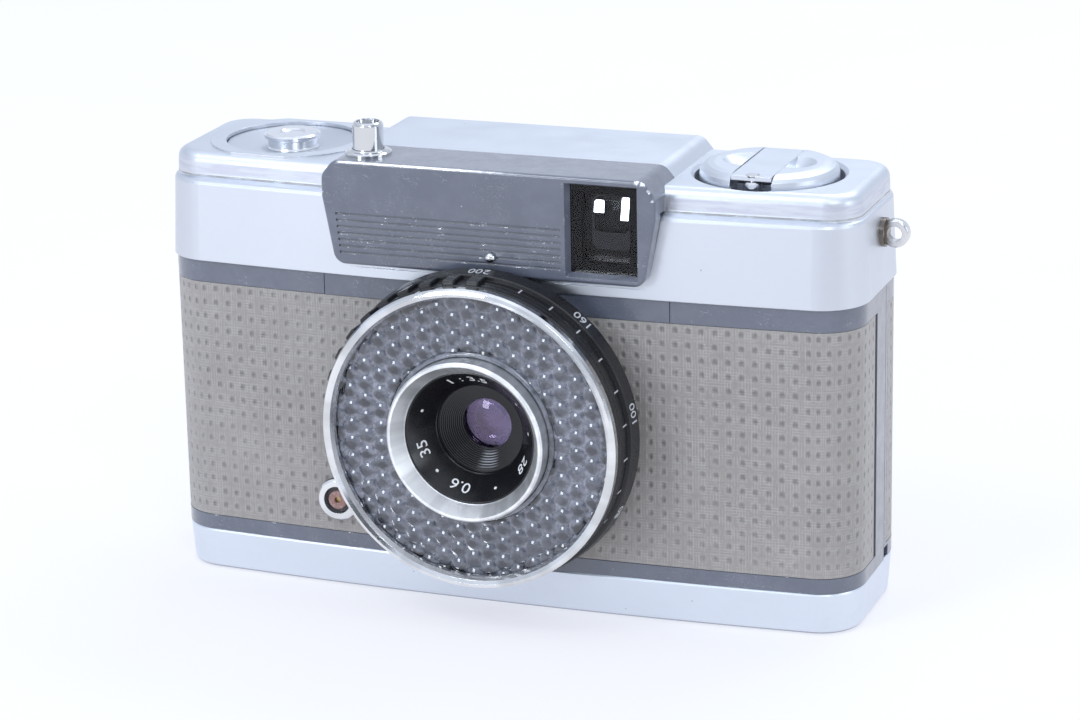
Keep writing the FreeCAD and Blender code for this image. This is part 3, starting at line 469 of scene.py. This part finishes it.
def selenium_plate():
    """Dark photocell with its lacquered iridescence and fine current-collecting net."""
    s = Shader("selenium_cell_face")
    x, _, z = s.axes()
    grid = s.math("MINIMUM", s.math("PINGPONG", x, 0.6), s.math("PINGPONG", z, 0.6))
    wire = s.span(grid, 0.05, 0.1, 1.0, 0.0)
    tone = s.mix(s.noise(0.3, 4.0), (0.045, 0.05, 0.065), (0.085, 0.09, 0.11))
    s.set(base_color=s.mix(s.mul(wire, 0.5), tone, (0.3, 0.3, 0.33)), metallic=0.35,
          roughness=s.span(s.noise(1.0, 4.0), 0.3, 0.7, 0.3, 0.45), normal=s.bump(wire, 0.02, 0.6))
    return s.material


def dome_place(s, x, up):
    """Place inside the nearest dome: the domes stand on two rectangular grids set half a step apart."""
    column, half = 1.5 * PITCH / math.sqrt(3), PITCH / 2
    ua, va = s.math("WRAP", x, column, -column), s.math("WRAP", up, half, -half)
    ub = s.math("WRAP", s.sub(x, column), column, -column)
    vb = s.math("WRAP", s.sub(up, half), half, -half)
    second = s.math("LESS_THAN", s.length(ub, vb), s.length(ua, va))
    return s.add(ua, s.mul(second, s.sub(ub, ua))), s.add(va, s.mul(second, s.sub(vb, va)))


def bubble_sheet():
    """Moulded clear sheet over the dark cell, drawn opaque: each small dome has painted shade, a dark patch
    low in it, and painted highlights on the paler ridges round it; darker towards the top and bottom and
    along both rims.
    """
    s = Shader("moulded_meter_window")
    x, up, r = s.round_lens()
    u, v = dome_place(s, x, up)
    wobble = s.noise(1.3, 3.0, 0.6)
    reach = s.add(s.math("POWER", s.absolute(s.math("DIVIDE", s.add(u, 0.15), 1.05)), 1.5),
                  s.math("POWER", s.absolute(s.math("DIVIDE", s.add(v, 0.3), 0.78)), 1.5))
    # painted shade: a dark patch low in each dome
    facet_shade = s.span(s.add(reach, s.mul(s.sub(wobble, 0.5), 1.6)), 0.35, 1.3, 1.0, 0.0)
    facet_shade = s.mul(facet_shade, s.span(s.noise(0.13, 3.0, 0.55), 0.36, 0.62, 0.45, 1.0))
    # painted highlight: paler ridges between the domes
    joint_highlight = s.mul(s.span(s.length(u, v), 1.0, 1.4), s.span(wobble, 0.45, 0.6, 0.0, 0.8), 0.62)
    tone = s.mix(s.span(s.noise(0.8, 4.0, 0.65), 0.36, 0.66), (0.085, 0.092, 0.12), (0.2, 0.208, 0.255))
    tone = s.mix(facet_shade, tone, (0.022, 0.025, 0.036))
    tone = s.mix(joint_highlight, tone, (0.4, 0.415, 0.49))
    # darker towards the top and bottom of the window
    tone = s.mix(s.span(s.absolute(up), 7.0, 17.0, 0.0, 0.3), tone, (0.03, 0.033, 0.045))
    rim = s.largest(s.span(r, 19.3, 20.4), s.span(r, 12.9, 13.6, 1.0, 0.0))
    gloom = s.mul(rim, s.span(s.noise(0.42, 2.0), 0.5, 0.58))
    s.set(base_color=s.mix(gloom, tone, (0.012, 0.013, 0.018)), ior=1.49,
          roughness=s.span(wobble, 0.3, 0.7, 0.05, 0.12), coat_weight=1.0, coat_roughness=0.04, coat_ior=1.6,
          normal=s.bump(s.noise(1.9, 2.0), 0.03, 0.35))
    return s.material


def moulded_lip():
    """Smooth clear edge of the meter window, smoky where the dark cell shows through."""
    s = Shader("moulded_lip")
    cloud = s.noise(0.5, 3.0, 0.6)
    s.set(base_color=s.mix(s.span(cloud, 0.38, 0.66), (0.07, 0.078, 0.1), (0.2, 0.21, 0.25)), ior=1.49,
          roughness=s.span(cloud, 0.3, 0.7, 0.08, 0.18), coat_weight=1.0, coat_roughness=0.04, coat_ior=1.6,
          normal=s.bump(s.noise(1.2, 2.0), 0.02, 0.3))
    return s.material


def foam_seal():
    """Open-pored black foam of the light seals."""
    s = Shader("foam_seal")
    pores = s.cells(3.0)
    s.set(base_color=s.mix(pores, (0.012, 0.012, 0.013), (0.045, 0.044, 0.046)), roughness=0.95,
          normal=s.bump(pores, 0.12))
    return s.material


def ink(name, colour):
    """Paint in small figures and marks, a little rubbed."""
    s = Shader(name)
    wear = s.noise(6.0, 4.0, 0.75)
    s.set(base_color=s.mix(s.span(wear, 0.55, 0.8, 0.0, 0.55), colour, scaled(colour, 0.45)),
          roughness=s.span(wear, 0.3, 0.7, 0.4, 0.6), normal=s.bump(wear, 0.006, 0.5))
    return s.material


WORN_LINES = (((-23.0, 6.0), -17.3, 66.2, 0.34), ((-26.0, -4.0), -15.75, 48.45, 0.3),
              ((6.0, 26.0), -15.75, 48.45, 0.3))
CHIPS = (((22.6, -17.2, 66.1), 0.55), ((23.5, -17.2, 65.9), 0.6), ((24.4, -17.3, 64.9), 0.45),
         ((24.9, -17.3, 63.6), 0.3), ((-25.2, -17.3, 61.6), 0.35), ((12.3, -17.4, 52.0), 0.35),
         ((-24.9, -17.3, 58.9), 0.25))
MATERIALS = {  # by the name of the CAD slot
    "satin_chrome": satin_metal("satin_chrome_plate", CHROME, 0.4),
    "polished_chrome": polished_metal("polished_chrome_plate", (0.83, 0.84, 0.85), 0.05, turned=True),
    "slate_paint": worn_paint("slate_enamel", (0.096, 0.11, 0.15), (0.116, 0.13, 0.172), WORN_LINES, CHIPS),
    "leatherette": leatherette("leatherette_front_grain", False),
    "counter_plate": satin_metal("counter_plate_satin", (0.6, 0.625, 0.68), 0.36, 0.008, 0.1),
    "black_enamel": dark_finish("black_anodised", (0.013, 0.013, 0.015), 0.26, 0.004),
    "black_plastic": dark_finish("black_moulding", (0.016, 0.016, 0.018), 0.42),
    "casting_black": dark_finish("casting_crackle", (0.02, 0.02, 0.021), 0.6, 0.03),
    "lens_glass": clear_glass("coated_optics", (0.93, 0.88, 1.0), 1.56, (0.89, 0.76, 1.0)),
    "window_glass": clear_glass("finder_pane", (0.97, 0.98, 1.0), 1.22),
    "honeycomb": bubble_sheet(),
    "selenium": selenium_plate(),
    "machined_aluminium": light_metal("machined_aluminium", (0.72, 0.73, 0.74), 0.32),
    "steel": light_metal("plated_steel", (0.5, 0.5, 0.51), 0.3),
    "blued_steel": light_metal("blued_steel", (0.09, 0.1, 0.13), 0.35),
    "brass": light_metal("worn_brass", (0.66, 0.5, 0.24), 0.3),
    "red_paint": ink("signal_red", (0.5, 0.02, 0.015)),
    "foam": foam_seal(),
}
OWN_FINISH = {  # by the name of the CAD node, in place of its slot's material
    "leatherette_back": leatherette("leatherette_back_grain", True),
    "counter_knob": polished_metal("bright_knob_plate", (0.78, 0.8, 0.83), 0.12),
    "strap_lugs": lug_nickel(),
    "finder_lenses": clear_glass("finder_optics", (0.95, 0.95, 1.0), 1.18),
    "finder_tunnel": dark_finish("finder_flock", (0.005, 0.005, 0.006), 0.7, 0.02, (0.015, 0.015, 0.017),
                                 0.08),
    "pc_socket_insulator": socket_resin(),
    "inner_ring": polished_metal("turned_ring_plate", (0.95, 0.96, 0.97), 0.42, turned=True),
    "top_cover": satin_metal("cover_satin_plate", CHROME, 0.4, marks=cover_tone_and_shade),
    "base_plate": satin_metal("base_satin_plate", (0.735, 0.785, 0.865), 0.4, marks=painted_foot_shade),
    "front_rings": lens_black(),
}

for node_name, node in NODES.items():
    for node_slot in node.material_slots:
        slot_name = node_slot.material.name.split(".")[0]
        node_slot.material = OWN_FINISH.get(node_name) or MATERIALS[slot_name]


# --- pieces -----------------------------------------------------------------------------
def add_piece(name, mesh, body):
    """A mesh in the row frame, riding on a body."""
    piece = bpy.data.objects.new(name, mesh)
    SCENE.collection.objects.link(piece)
    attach(piece, body)
    return piece


def mesh_piece(name, solid, material, body, sharp_deg=None):
    """A piece from (vertices in millimetres, faces); it is shaded smooth where sharp_deg is given."""
    verts, faces = solid
    mesh = bpy.data.meshes.new(name)
    mesh.from_pydata([scaled(v, MM) for v in verts], [], faces)
    mesh.validate()
    if sharp_deg:
        mesh.shade_smooth()
        mesh.set_sharp_from_angle(angle=math.radians(sharp_deg))
    mesh.materials.append(material)
    return add_piece(name, mesh, body)


def side_walls(faces, n):
    """Walls along the open edges of a net of faces, down to its copy n vertices further on."""
    edges = dict.fromkeys((p, q) for f in faces for p, q in zip(f, f[1:] + f[:1]))
    return [[q, p, p + n, q + n] for p, q in edges if (q, p) not in edges]


def closed(top, bottom, faces):
    """A solid between a net of faces and its copy, as (vertices, faces)."""
    n = len(top)
    return top + bottom, faces + [[i + n for i in reversed(f)] for f in faces] + side_walls(faces, n)


def gather(solids):
    """Several solids as one (vertices, faces)."""
    verts, faces = [], []
    for v, f in solids:
        base = len(verts)
        verts += v
        faces += [[i + base for i in face] for face in f]
    return verts, faces


def spring_piece(name, node_name, body):
    """A copy of a spring node in plated steel, riding on a body; the node itself is hidden."""
    mesh = NODES[node_name].data.copy()
    mesh.materials.clear()
    mesh.materials.append(MATERIALS["steel"])
    piece = add_piece(name, mesh, body)
    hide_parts(node_name)
    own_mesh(piece)


def hexagon_triangles(radius, n):
    """A hexagon round the origin cut into even triangles, n rows in each of its six sectors."""
    angles = [math.radians(60 * k) for k in range(6)]
    corners = [(radius * math.cos(a), radius * math.sin(a)) for a in angles]
    found = []
    for (ax, az), (bx, bz) in zip(corners, corners[1:] + corners[:1]):
        grid = [[((ax * (m - q) + bx * q) / n, (az * (m - q) + bz * q) / n) for q in range(m + 1)]
                for m in range(n + 1)]
        for m in range(n):
            for q in range(m + 1):
                found.append((grid[m][q], grid[m + 1][q + 1], grid[m + 1][q]))
                if q < m:
                    found.append((grid[m][q], grid[m][q + 1], grid[m + 1][q + 1]))
    return found


def honeycomb():
    """The moulded window over the photocell: a close-packed field of small lens domes."""
    rise, side = 0.45, PITCH / math.sqrt(3)
    verts, faces, index = [], [], {}

    def vertex(x, z, cx, cz):
        """The vertex at x, z on the dome round cx, cz, pulled onto the window's rim where it lies beyond."""
        r = math.hypot(x, z)
        k = min(max(r, WINDOW_IN), WINDOW_OUT) / r
        x, z = x * k, z * k
        key = (round(x, 3), round(z, 3))
        if key not in index:
            index[key] = len(verts)
            height = rise * (1 - ((x - cx) ** 2 + (z - cz) ** 2) / side ** 2)
            verts.append((x, -(WINDOW_BASE + max(height, 0.0)), z + LENS_Z))
        return index[key]

    dome = hexagon_triangles(side, 6)
    reach = int(WINDOW_OUT / PITCH) + 3
    for i in range(-reach, reach + 1):
        for j in range(-reach, reach + 1):
            cx, cz = i * side * 1.5, (j + (i % 2) / 2) * PITCH
            if not WINDOW_IN - side < math.hypot(cx, cz) < WINDOW_OUT + side:
                continue
            for triangle in dome:
                points = [(cx + x, cz + z) for x, z in triangle]
                radii = [math.hypot(*p) for p in points]
                if max(radii) <= WINDOW_IN or min(radii) >= WINDOW_OUT:
                    continue
                ids = [vertex(*p, cx, cz) for p in points]
                if len(set(ids)) == 3:
                    faces.append(ids)
    back = [(x, -WINDOW_BACK, z) for x, _, z in verts]
    piece = mesh_piece("meter_window_bubbles", closed(verts, back, faces), MATERIALS["honeycomb"], "camera",
                       sharp_deg=12)
    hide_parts("bubble_window")


def window_lip():
    """The plain rounded edge of the moulded window, where it meets the chrome ring round the lens."""
    profile = [(11.95, WINDOW_BACK), (11.95, 25.38), (12.02, 25.47), (12.18, 25.52), (12.38, 25.5),
               (12.55, 25.4), (12.66, 25.25), (12.7, 25.05), (12.7, WINDOW_BACK)]
    turns, rows = 144, len(profile)
    verts, faces = [], []
    for k in range(turns):
        a = math.tau * k / turns
        verts += [(r * math.cos(a), -out, r * math.sin(a) + LENS_Z) for r, out in profile]
        here, after = k * rows, (k + 1) % turns * rows
        for m in range(rows):
            up = (m + 1) % rows
            faces.append([here + m, here + up, after + up, after + m])
    mesh_piece("meter_window_lip", (verts, faces), moulded_lip(), "camera", sharp_deg=40)


def text_outline(text, height):
    """Flat faces of a line of figures, centred, its cap height given in millimetres."""
    curve = bpy.data.curves.new("figures", "FONT")
    curve.body = text
    curve.align_x = "CENTER"
    curve.size = 1.0
    curve.resolution_u = 4
    holder = bpy.data.objects.new("figures", curve)
    SCENE.collection.objects.link(holder)
    bpy.context.view_layer.update()
    mesh = bpy.data.meshes.new_from_object(holder.evaluated_get(bpy.context.evaluated_depsgraph_get()))
    bm = bmesh.new()
    bm.from_mesh(mesh)
    bmesh.ops.remove_doubles(bm, verts=bm.verts, dist=1e-4)
    bmesh.ops.triangulate(bm, faces=bm.faces)
    # long edges are halved, so that the figures can follow a curved surface
    bmesh.ops.subdivide_edges(bm, edges=[e for e in bm.edges if e.calc_length() > 0.25], cuts=1)
    bmesh.ops.triangulate(bm, faces=bm.faces)
    font_cap_height = 0.7
    k = height / font_cap_height
    verts = [(v.co.x * k, v.co.y * k) for v in bm.verts]
    faces = [[v.index for v in f.verts] for f in bm.faces]
    bm.free()
    bpy.data.objects.remove(holder)
    bpy.data.curves.remove(curve)
    bpy.data.meshes.remove(mesh)
    return verts, faces


def raised(flat, faces, place, thick):
    """A closed plate from a flat net of faces; place(u, v, w) gives the point w above the surface."""
    return closed([place(u, v, thick) for u, v in flat], [place(u, v, -thick) for u, v in flat], faces)


def on_dial(angle_deg, out_mid):
    """A place function for the dial ring: u runs round it, v forwards and w outwards."""
    (near, near_r), (far, far_r) = DIAL_BAND

    def place(u, v, w):
        out = out_mid + v
        r = near_r + (out - near) / (far - near) * (far_r - near_r) if out < far else DIAL_FRONT_R
        a = math.radians(angle_deg) - u / r
        return ((r + w) * math.sin(a), -out, LENS_Z + (r + w) * math.cos(a))
    return place


def dial_figures():
    """Film speed figures and division lines filled with pale grey on the dial ring."""
    figures_out, lines_out, thick = 19.55, 22.35, 0.03
    parts = []
    for text, angle in (("200", 0), ("160", 42), ("100", 80), ("80", 118), ("50", 156), ("40", 194),
                        ("25", 232), ("20", 270), ("10", 308)):
        parts.append(raised(*text_outline(text, 1.55), on_dial(angle, figures_out), thick))
    line = [(-0.11, -0.75), (0.11, -0.75), (0.11, 0.75), (-0.11, 0.75)]
    for k in range(22):
        parts.append(raised(line, [[0, 1, 2, 3]], on_dial(18 + k * 12.9, lines_out), thick))
    mesh_piece("dial_figures", gather(parts), ink("dial_filling", (0.56, 0.57, 0.6)), "dial")


def dial_grips():
    """Nine bevelled ribs on the dial ring's front edge, where a finger turns it."""
    outline = [(-0.95, -1.55), (0.95, -1.55), (0.95, 1.3), (0.75, 1.5), (-0.75, 1.5), (-0.95, 1.3)]
    n = len(outline)
    grips = []
    for k in range(9):
        place = on_dial(-72 + k * 9.2, 23.45)
        verts = [place(u, v, -0.15) for u, v in outline]
        verts += [place(u, v, 0.45) for u, v in outline]
        verts += [place(u * 0.86, v * 0.93, 0.62) for u, v in outline]
        faces = [list(range(n))[::-1], [i + 2 * n for i in range(n)]]
        for low in (0, n):
            for i in range(n):
                j = (i + 1) % n
                faces.append([low + i, low + j, low + n + j, low + n + i])
        grips.append((verts, faces))
    mesh_piece("dial_grips", gather(grips), MATERIALS["black_enamel"], "dial")


def on_front_ring(angle_deg):
    """A place function for the sloping face of the front ring: u runs round it, v outwards, w off it."""
    lean_r, lean_out = 0.576, 0.818
    mid_r, mid_out = 8.17, 23.78

    def place(u, v, w):
        t = v - 0.55
        r, out = mid_r + t * lean_r - w * lean_out, mid_out + t * lean_out + w * lean_r
        a = math.radians(angle_deg) + u / 8.0
        return (r * math.sin(a), -out, LENS_Z + r * math.cos(a))
    return place


def ring_figures():
    """Generic optical figures round the black front ring: a ratio, a length and small dots."""
    thick = 0.02
    parts = []
    for text, angle in (("1 : 3.5", -6), ("28", 118), ("0.6", 196), ("35", 250)):
        parts.append(raised(*text_outline(text, 1.75), on_front_ring(angle), thick))
    angles = [math.tau * k / 10 for k in range(10)]
    dot = [(0.24 * math.cos(a), 0.85 + 0.24 * math.sin(a)) for a in angles]
    for angle in (52, 84, 158, 224, 290):
        parts.append(raised(dot, [list(range(10))], on_front_ring(angle), thick))
    mesh_piece("front_ring_figures", gather(parts), ink("white_filling", (0.86, 0.86, 0.87)), "camera")


def eyepiece_stand_in_mirrors():
    """Two tilted mirror faces inside the finder, behind its pane, whose painted reflections stand in for the
    bright eyepiece seen through it.
    """
    tilt = Matrix.Rotation(math.radians(-14.3), 3, "X") @ Matrix.Rotation(math.radians(-3.3), 3, "Z")
    parts = []
    for cx, cz, half_w, half_h in ((16.35, 61.75, 0.78, 0.9), (20.2, 61.6, 0.6, 1.65)):
        outline = [(-half_w + 0.25, half_h), (-half_w, half_h - 0.25), (-half_w, -half_h), (half_w, -half_h),
                   (half_w, half_h - 0.2), (half_w - 0.2, half_h)]

        def place(u, v, w, centre=Vector((cx, -14.85, cz))):
            return tuple(centre + tilt @ Vector((u, -w, v)))

        parts.append(raised(outline, [list(range(6))], place, 0.08))
    # stand-in mirrors that throw painted reflections
    mesh_piece("finder_eyepiece_stand_in_mirrors", gather(parts), MATERIALS["polished_chrome"], "camera")


def finder_mask():
    """The dark frame inside the finder, behind its pane."""
    outer = [(15.1, 56.2), (15.9, 55.4), (20.3, 55.4), (20.9, 56.1), (20.9, 63.1), (20.3, 63.5),
             (16.3, 63.5), (15.1, 62.6)]
    inner = [(15.4, 58.3), (16.6, 57.9), (20.0, 57.9), (20.6, 58.5), (20.6, 62.9), (20.1, 63.2),
             (16.4, 63.2), (15.4, 62.4)]
    verts = [(x, y, z) for y in (-14.55, -14.3) for ring in (outer, inner) for x, z in ring]
    faces = []
    for i in range(8):
        j = (i + 1) % 8
        faces += [[i, j, 8 + j, 8 + i], [16 + j, 16 + i, 24 + i, 24 + j], [j, i, 16 + i, 16 + j],
                  [8 + i, 8 + j, 24 + j, 24 + i]]
    grey = dark_finish("finder_mask_grey", (0.02, 0.02, 0.024), 0.45, 0.01, (0.04, 0.04, 0.045), 0.25)
    mesh_piece("finder_mask", (verts, faces), grey, "camera")


def painted_groove_shade():
    """A dark strip laid, a little ragged, in the groove between the covering and the side strips: painted
    shade of the groove.
    """
    foot, top, n = 8.75, 45.15, 96
    parts = []
    for side in (-1, 1):
        verts, faces = [], []
        for i in range(n + 1):
            z = foot + i * (top - foot) / n
            wave = 0.13 * math.sin(z * 3.27) + 0.07 * math.sin(z * 8.1 + 1.3)
            ragged = -2.36 + max(wave, -0.03)
            section = ((ragged, 53.075), (-2.3 + wave, 53.17), (-1.47, 53.17), (-1.43, 53.075),
                       (-1.43, 53.03), (ragged, 53.03))
            verts += [(side * x, y, z) for y, x in section]
        for i in range(n):
            for k in range(6):
                up = (k + 1) % 6
                faces.append([6 * i + k, 6 * i + up, 6 * i + 6 + up, 6 * i + 6 + k])
        faces += [[5, 4, 3, 2, 1, 0], [6 * n + k for k in range(6)]]
        parts.append((verts, faces if side > 0 else [f[::-1] for f in faces]))
    # painted shade laid in the groove
    groove_shade_finish = dark_finish("painted_groove_shade_finish", (0.03, 0.032, 0.042), 0.7, 0.03, (0.07, 0.075, 0.09))
    mesh_piece("side_painted_groove_shade", gather(parts), groove_shade_finish, "camera")


spring_piece("button_coil_spring", "release_spring", "camera")
spring_piece("plate_leaf_spring", "pressure_spring", "back")
honeycomb()
window_lip()
dial_figures()
dial_grips()
ring_figures()
eyepiece_stand_in_mirrors()
finder_mask()
painted_groove_shade()


# --- stage ------------------------------------------------------------------------------
def add_floor():
    """Pale paper that glows a little, as it would inside a light tent."""
    half = 6.0
    mesh = bpy.data.meshes.new("floor")
    corners = [(-half, -half, 0), (half, -half, 0), (half, half, 0), (-half, half, 0)]
    mesh.from_pydata(corners, [], [(0, 1, 2, 3)])
    floor = bpy.data.objects.new("floor", mesh)
    SCENE.collection.objects.link(floor)
    floor.location.z = CAD_BOX[0][2] - 0.1 * MM
    s = Shader("pale_paper")
    s.set(base_color=s.mix(s.noise(0.02, 2.0), (0.3, 0.285, 0.26), (0.32, 0.305, 0.28)), roughness=0.9,
          specular_ior_level=0.0, emission_color=(0.615, 0.635, 0.71, 1.0), emission_strength=1.0,
          normal=s.bump(s.noise(1.5, 3.0), 0.02, 0.2))
    mesh.materials.append(s.material)


def add_world():
    """A bright tent with a grey flag at the right and a dark patch where the camera stands."""
    world = bpy.data.worlds.new("studio")
    SCENE.world = world
    world.use_nodes = True
    tree = world.node_tree
    sky = tree.nodes["Background"]
    around = tree.nodes.new("ShaderNodeTexCoord").outputs["Generated"]

    def dark_patch(direction, start, end, depth):
        """1 away from the direction and depth towards it; start and end are cosines of the angle to it."""
        toward = tree.nodes.new("ShaderNodeVectorMath")
        toward.operation = "DOT_PRODUCT"
        toward.inputs[1].default_value = Vector(direction).normalized()
        tree.links.new(around, toward.inputs[0])
        fade = tree.nodes.new("ShaderNodeMapRange")
        fade.interpolation_type = "SMOOTHSTEP"
        for key, value in (("From Min", start), ("From Max", end), ("To Min", 1.0), ("To Max", depth)):
            fade.inputs[key].default_value = value
        tree.links.new(toward.outputs["Value"], fade.inputs["Value"])
        return fade.outputs[0]

    split = tree.nodes.new("ShaderNodeSeparateXYZ")
    tree.links.new(around, split.inputs[0])
    ramp = tree.nodes.new("ShaderNodeValToRGB")
    tree.links.new(split.outputs["Z"], ramp.inputs["Fac"])
    stops = ((0.0, (0.86, 0.93, 1.06)), (0.2, (0.84, 0.91, 1.04)), (0.42, (0.66, 0.72, 0.84)),
             (0.7, (0.80, 0.87, 1.0)), (1.0, (1.1, 1.18, 1.34)))
    while len(ramp.color_ramp.elements) < len(stops):
        ramp.color_ramp.elements.new(0.5)
    for element, (at, colour) in zip(ramp.color_ramp.elements, stops):
        element.position = at
        element.color = (*colour, 1.0)
    both = tree.nodes.new("ShaderNodeMath")
    both.operation = "MULTIPLY"
    tree.links.new(dark_patch((0.91, -0.33, 0.26), 0.8, 0.96, 0.3), both.inputs[0])
    tree.links.new(dark_patch((0.34, -0.9, 0.3), 0.955, 0.985, 0.2), both.inputs[1])
    dim = tree.nodes.new("ShaderNodeVectorMath")
    dim.operation = "SCALE"
    tree.links.new(ramp.outputs["Color"], dim.inputs[0])
    tree.links.new(both.outputs[0], dim.inputs["Scale"])
    tree.links.new(dim.outputs[0], sky.inputs["Color"])
    sky.inputs["Strength"].default_value = 1.0


def add_lights():
    """Softboxes aimed at the part, all of one bluish white: (name, place, height aimed at, size, watts)."""
    for name, place, aim_z, size, power in (
        ("key_softbox", (-0.30, -0.50, 0.78), 0.04, (0.30, 0.30), 1.35),
        ("key_core", (-0.285, -0.475, 0.741), 0.04, (0.09, 0.09), 0.3),
        ("right_softbox", (0.42, -0.62, 0.62), 0.04, (0.24, 0.24), 1.35),
        ("rear_softbox", (0.1, 0.55, 0.75), 0.05, (0.6, 0.25), 2.2),
        ("side_softbox", (0.8, -0.14, 0.3), 0.03, (0.3, 0.3), 1.1),
        ("low_softbox", (-0.33, -0.76, 0.25), 0.04, (0.2, 0.2), 1.1),
    ):
        data = bpy.data.lights.new(name, "AREA")
        data.shape = "RECTANGLE"
        data.size, data.size_y = size
        data.energy = power
        data.color = (0.88, 0.94, 1.0)
        lamp = bpy.data.objects.new(name, data)
        lamp.location = place
        lamp.rotation_mode = "QUATERNION"
        lamp.rotation_quaternion = (Vector((0, 0, aim_z)) - Vector(place)).to_track_quat("-Z", "Y")
        SCENE.collection.objects.link(lamp)


def add_camera():
    """The photograph's camera; its angles, place (m) and focal length (mm) were fitted to the photo."""
    az, el, roll = (math.radians(v) for v in (20.521, 17.216, -1.176))
    back = Vector((math.sin(az) * math.cos(el), -math.cos(az) * math.cos(el), math.sin(el)))
    right = Vector((math.cos(az), math.sin(az), 0.0))
    up = back.cross(right)
    side = math.cos(roll) * right + math.sin(roll) * up
    top = -math.sin(roll) * right + math.cos(roll) * up
    data = bpy.data.cameras.new("camera_view")
    data.sensor_width = 36.0
    data.lens = 118.84
    data.clip_start, data.clip_end = 0.01, 50.0
    camera = bpy.data.objects.new("camera_view", data)
    turn = Matrix((side, top, back)).transposed().to_4x4()
    camera.matrix_world = Matrix.Translation((0.178152, -0.4724, 0.189598)) @ turn
    SCENE.collection.objects.link(camera)
    SCENE.camera = camera


add_floor()
add_world()
add_lights()
add_camera()
SCENE.view_settings.view_transform = "Standard"
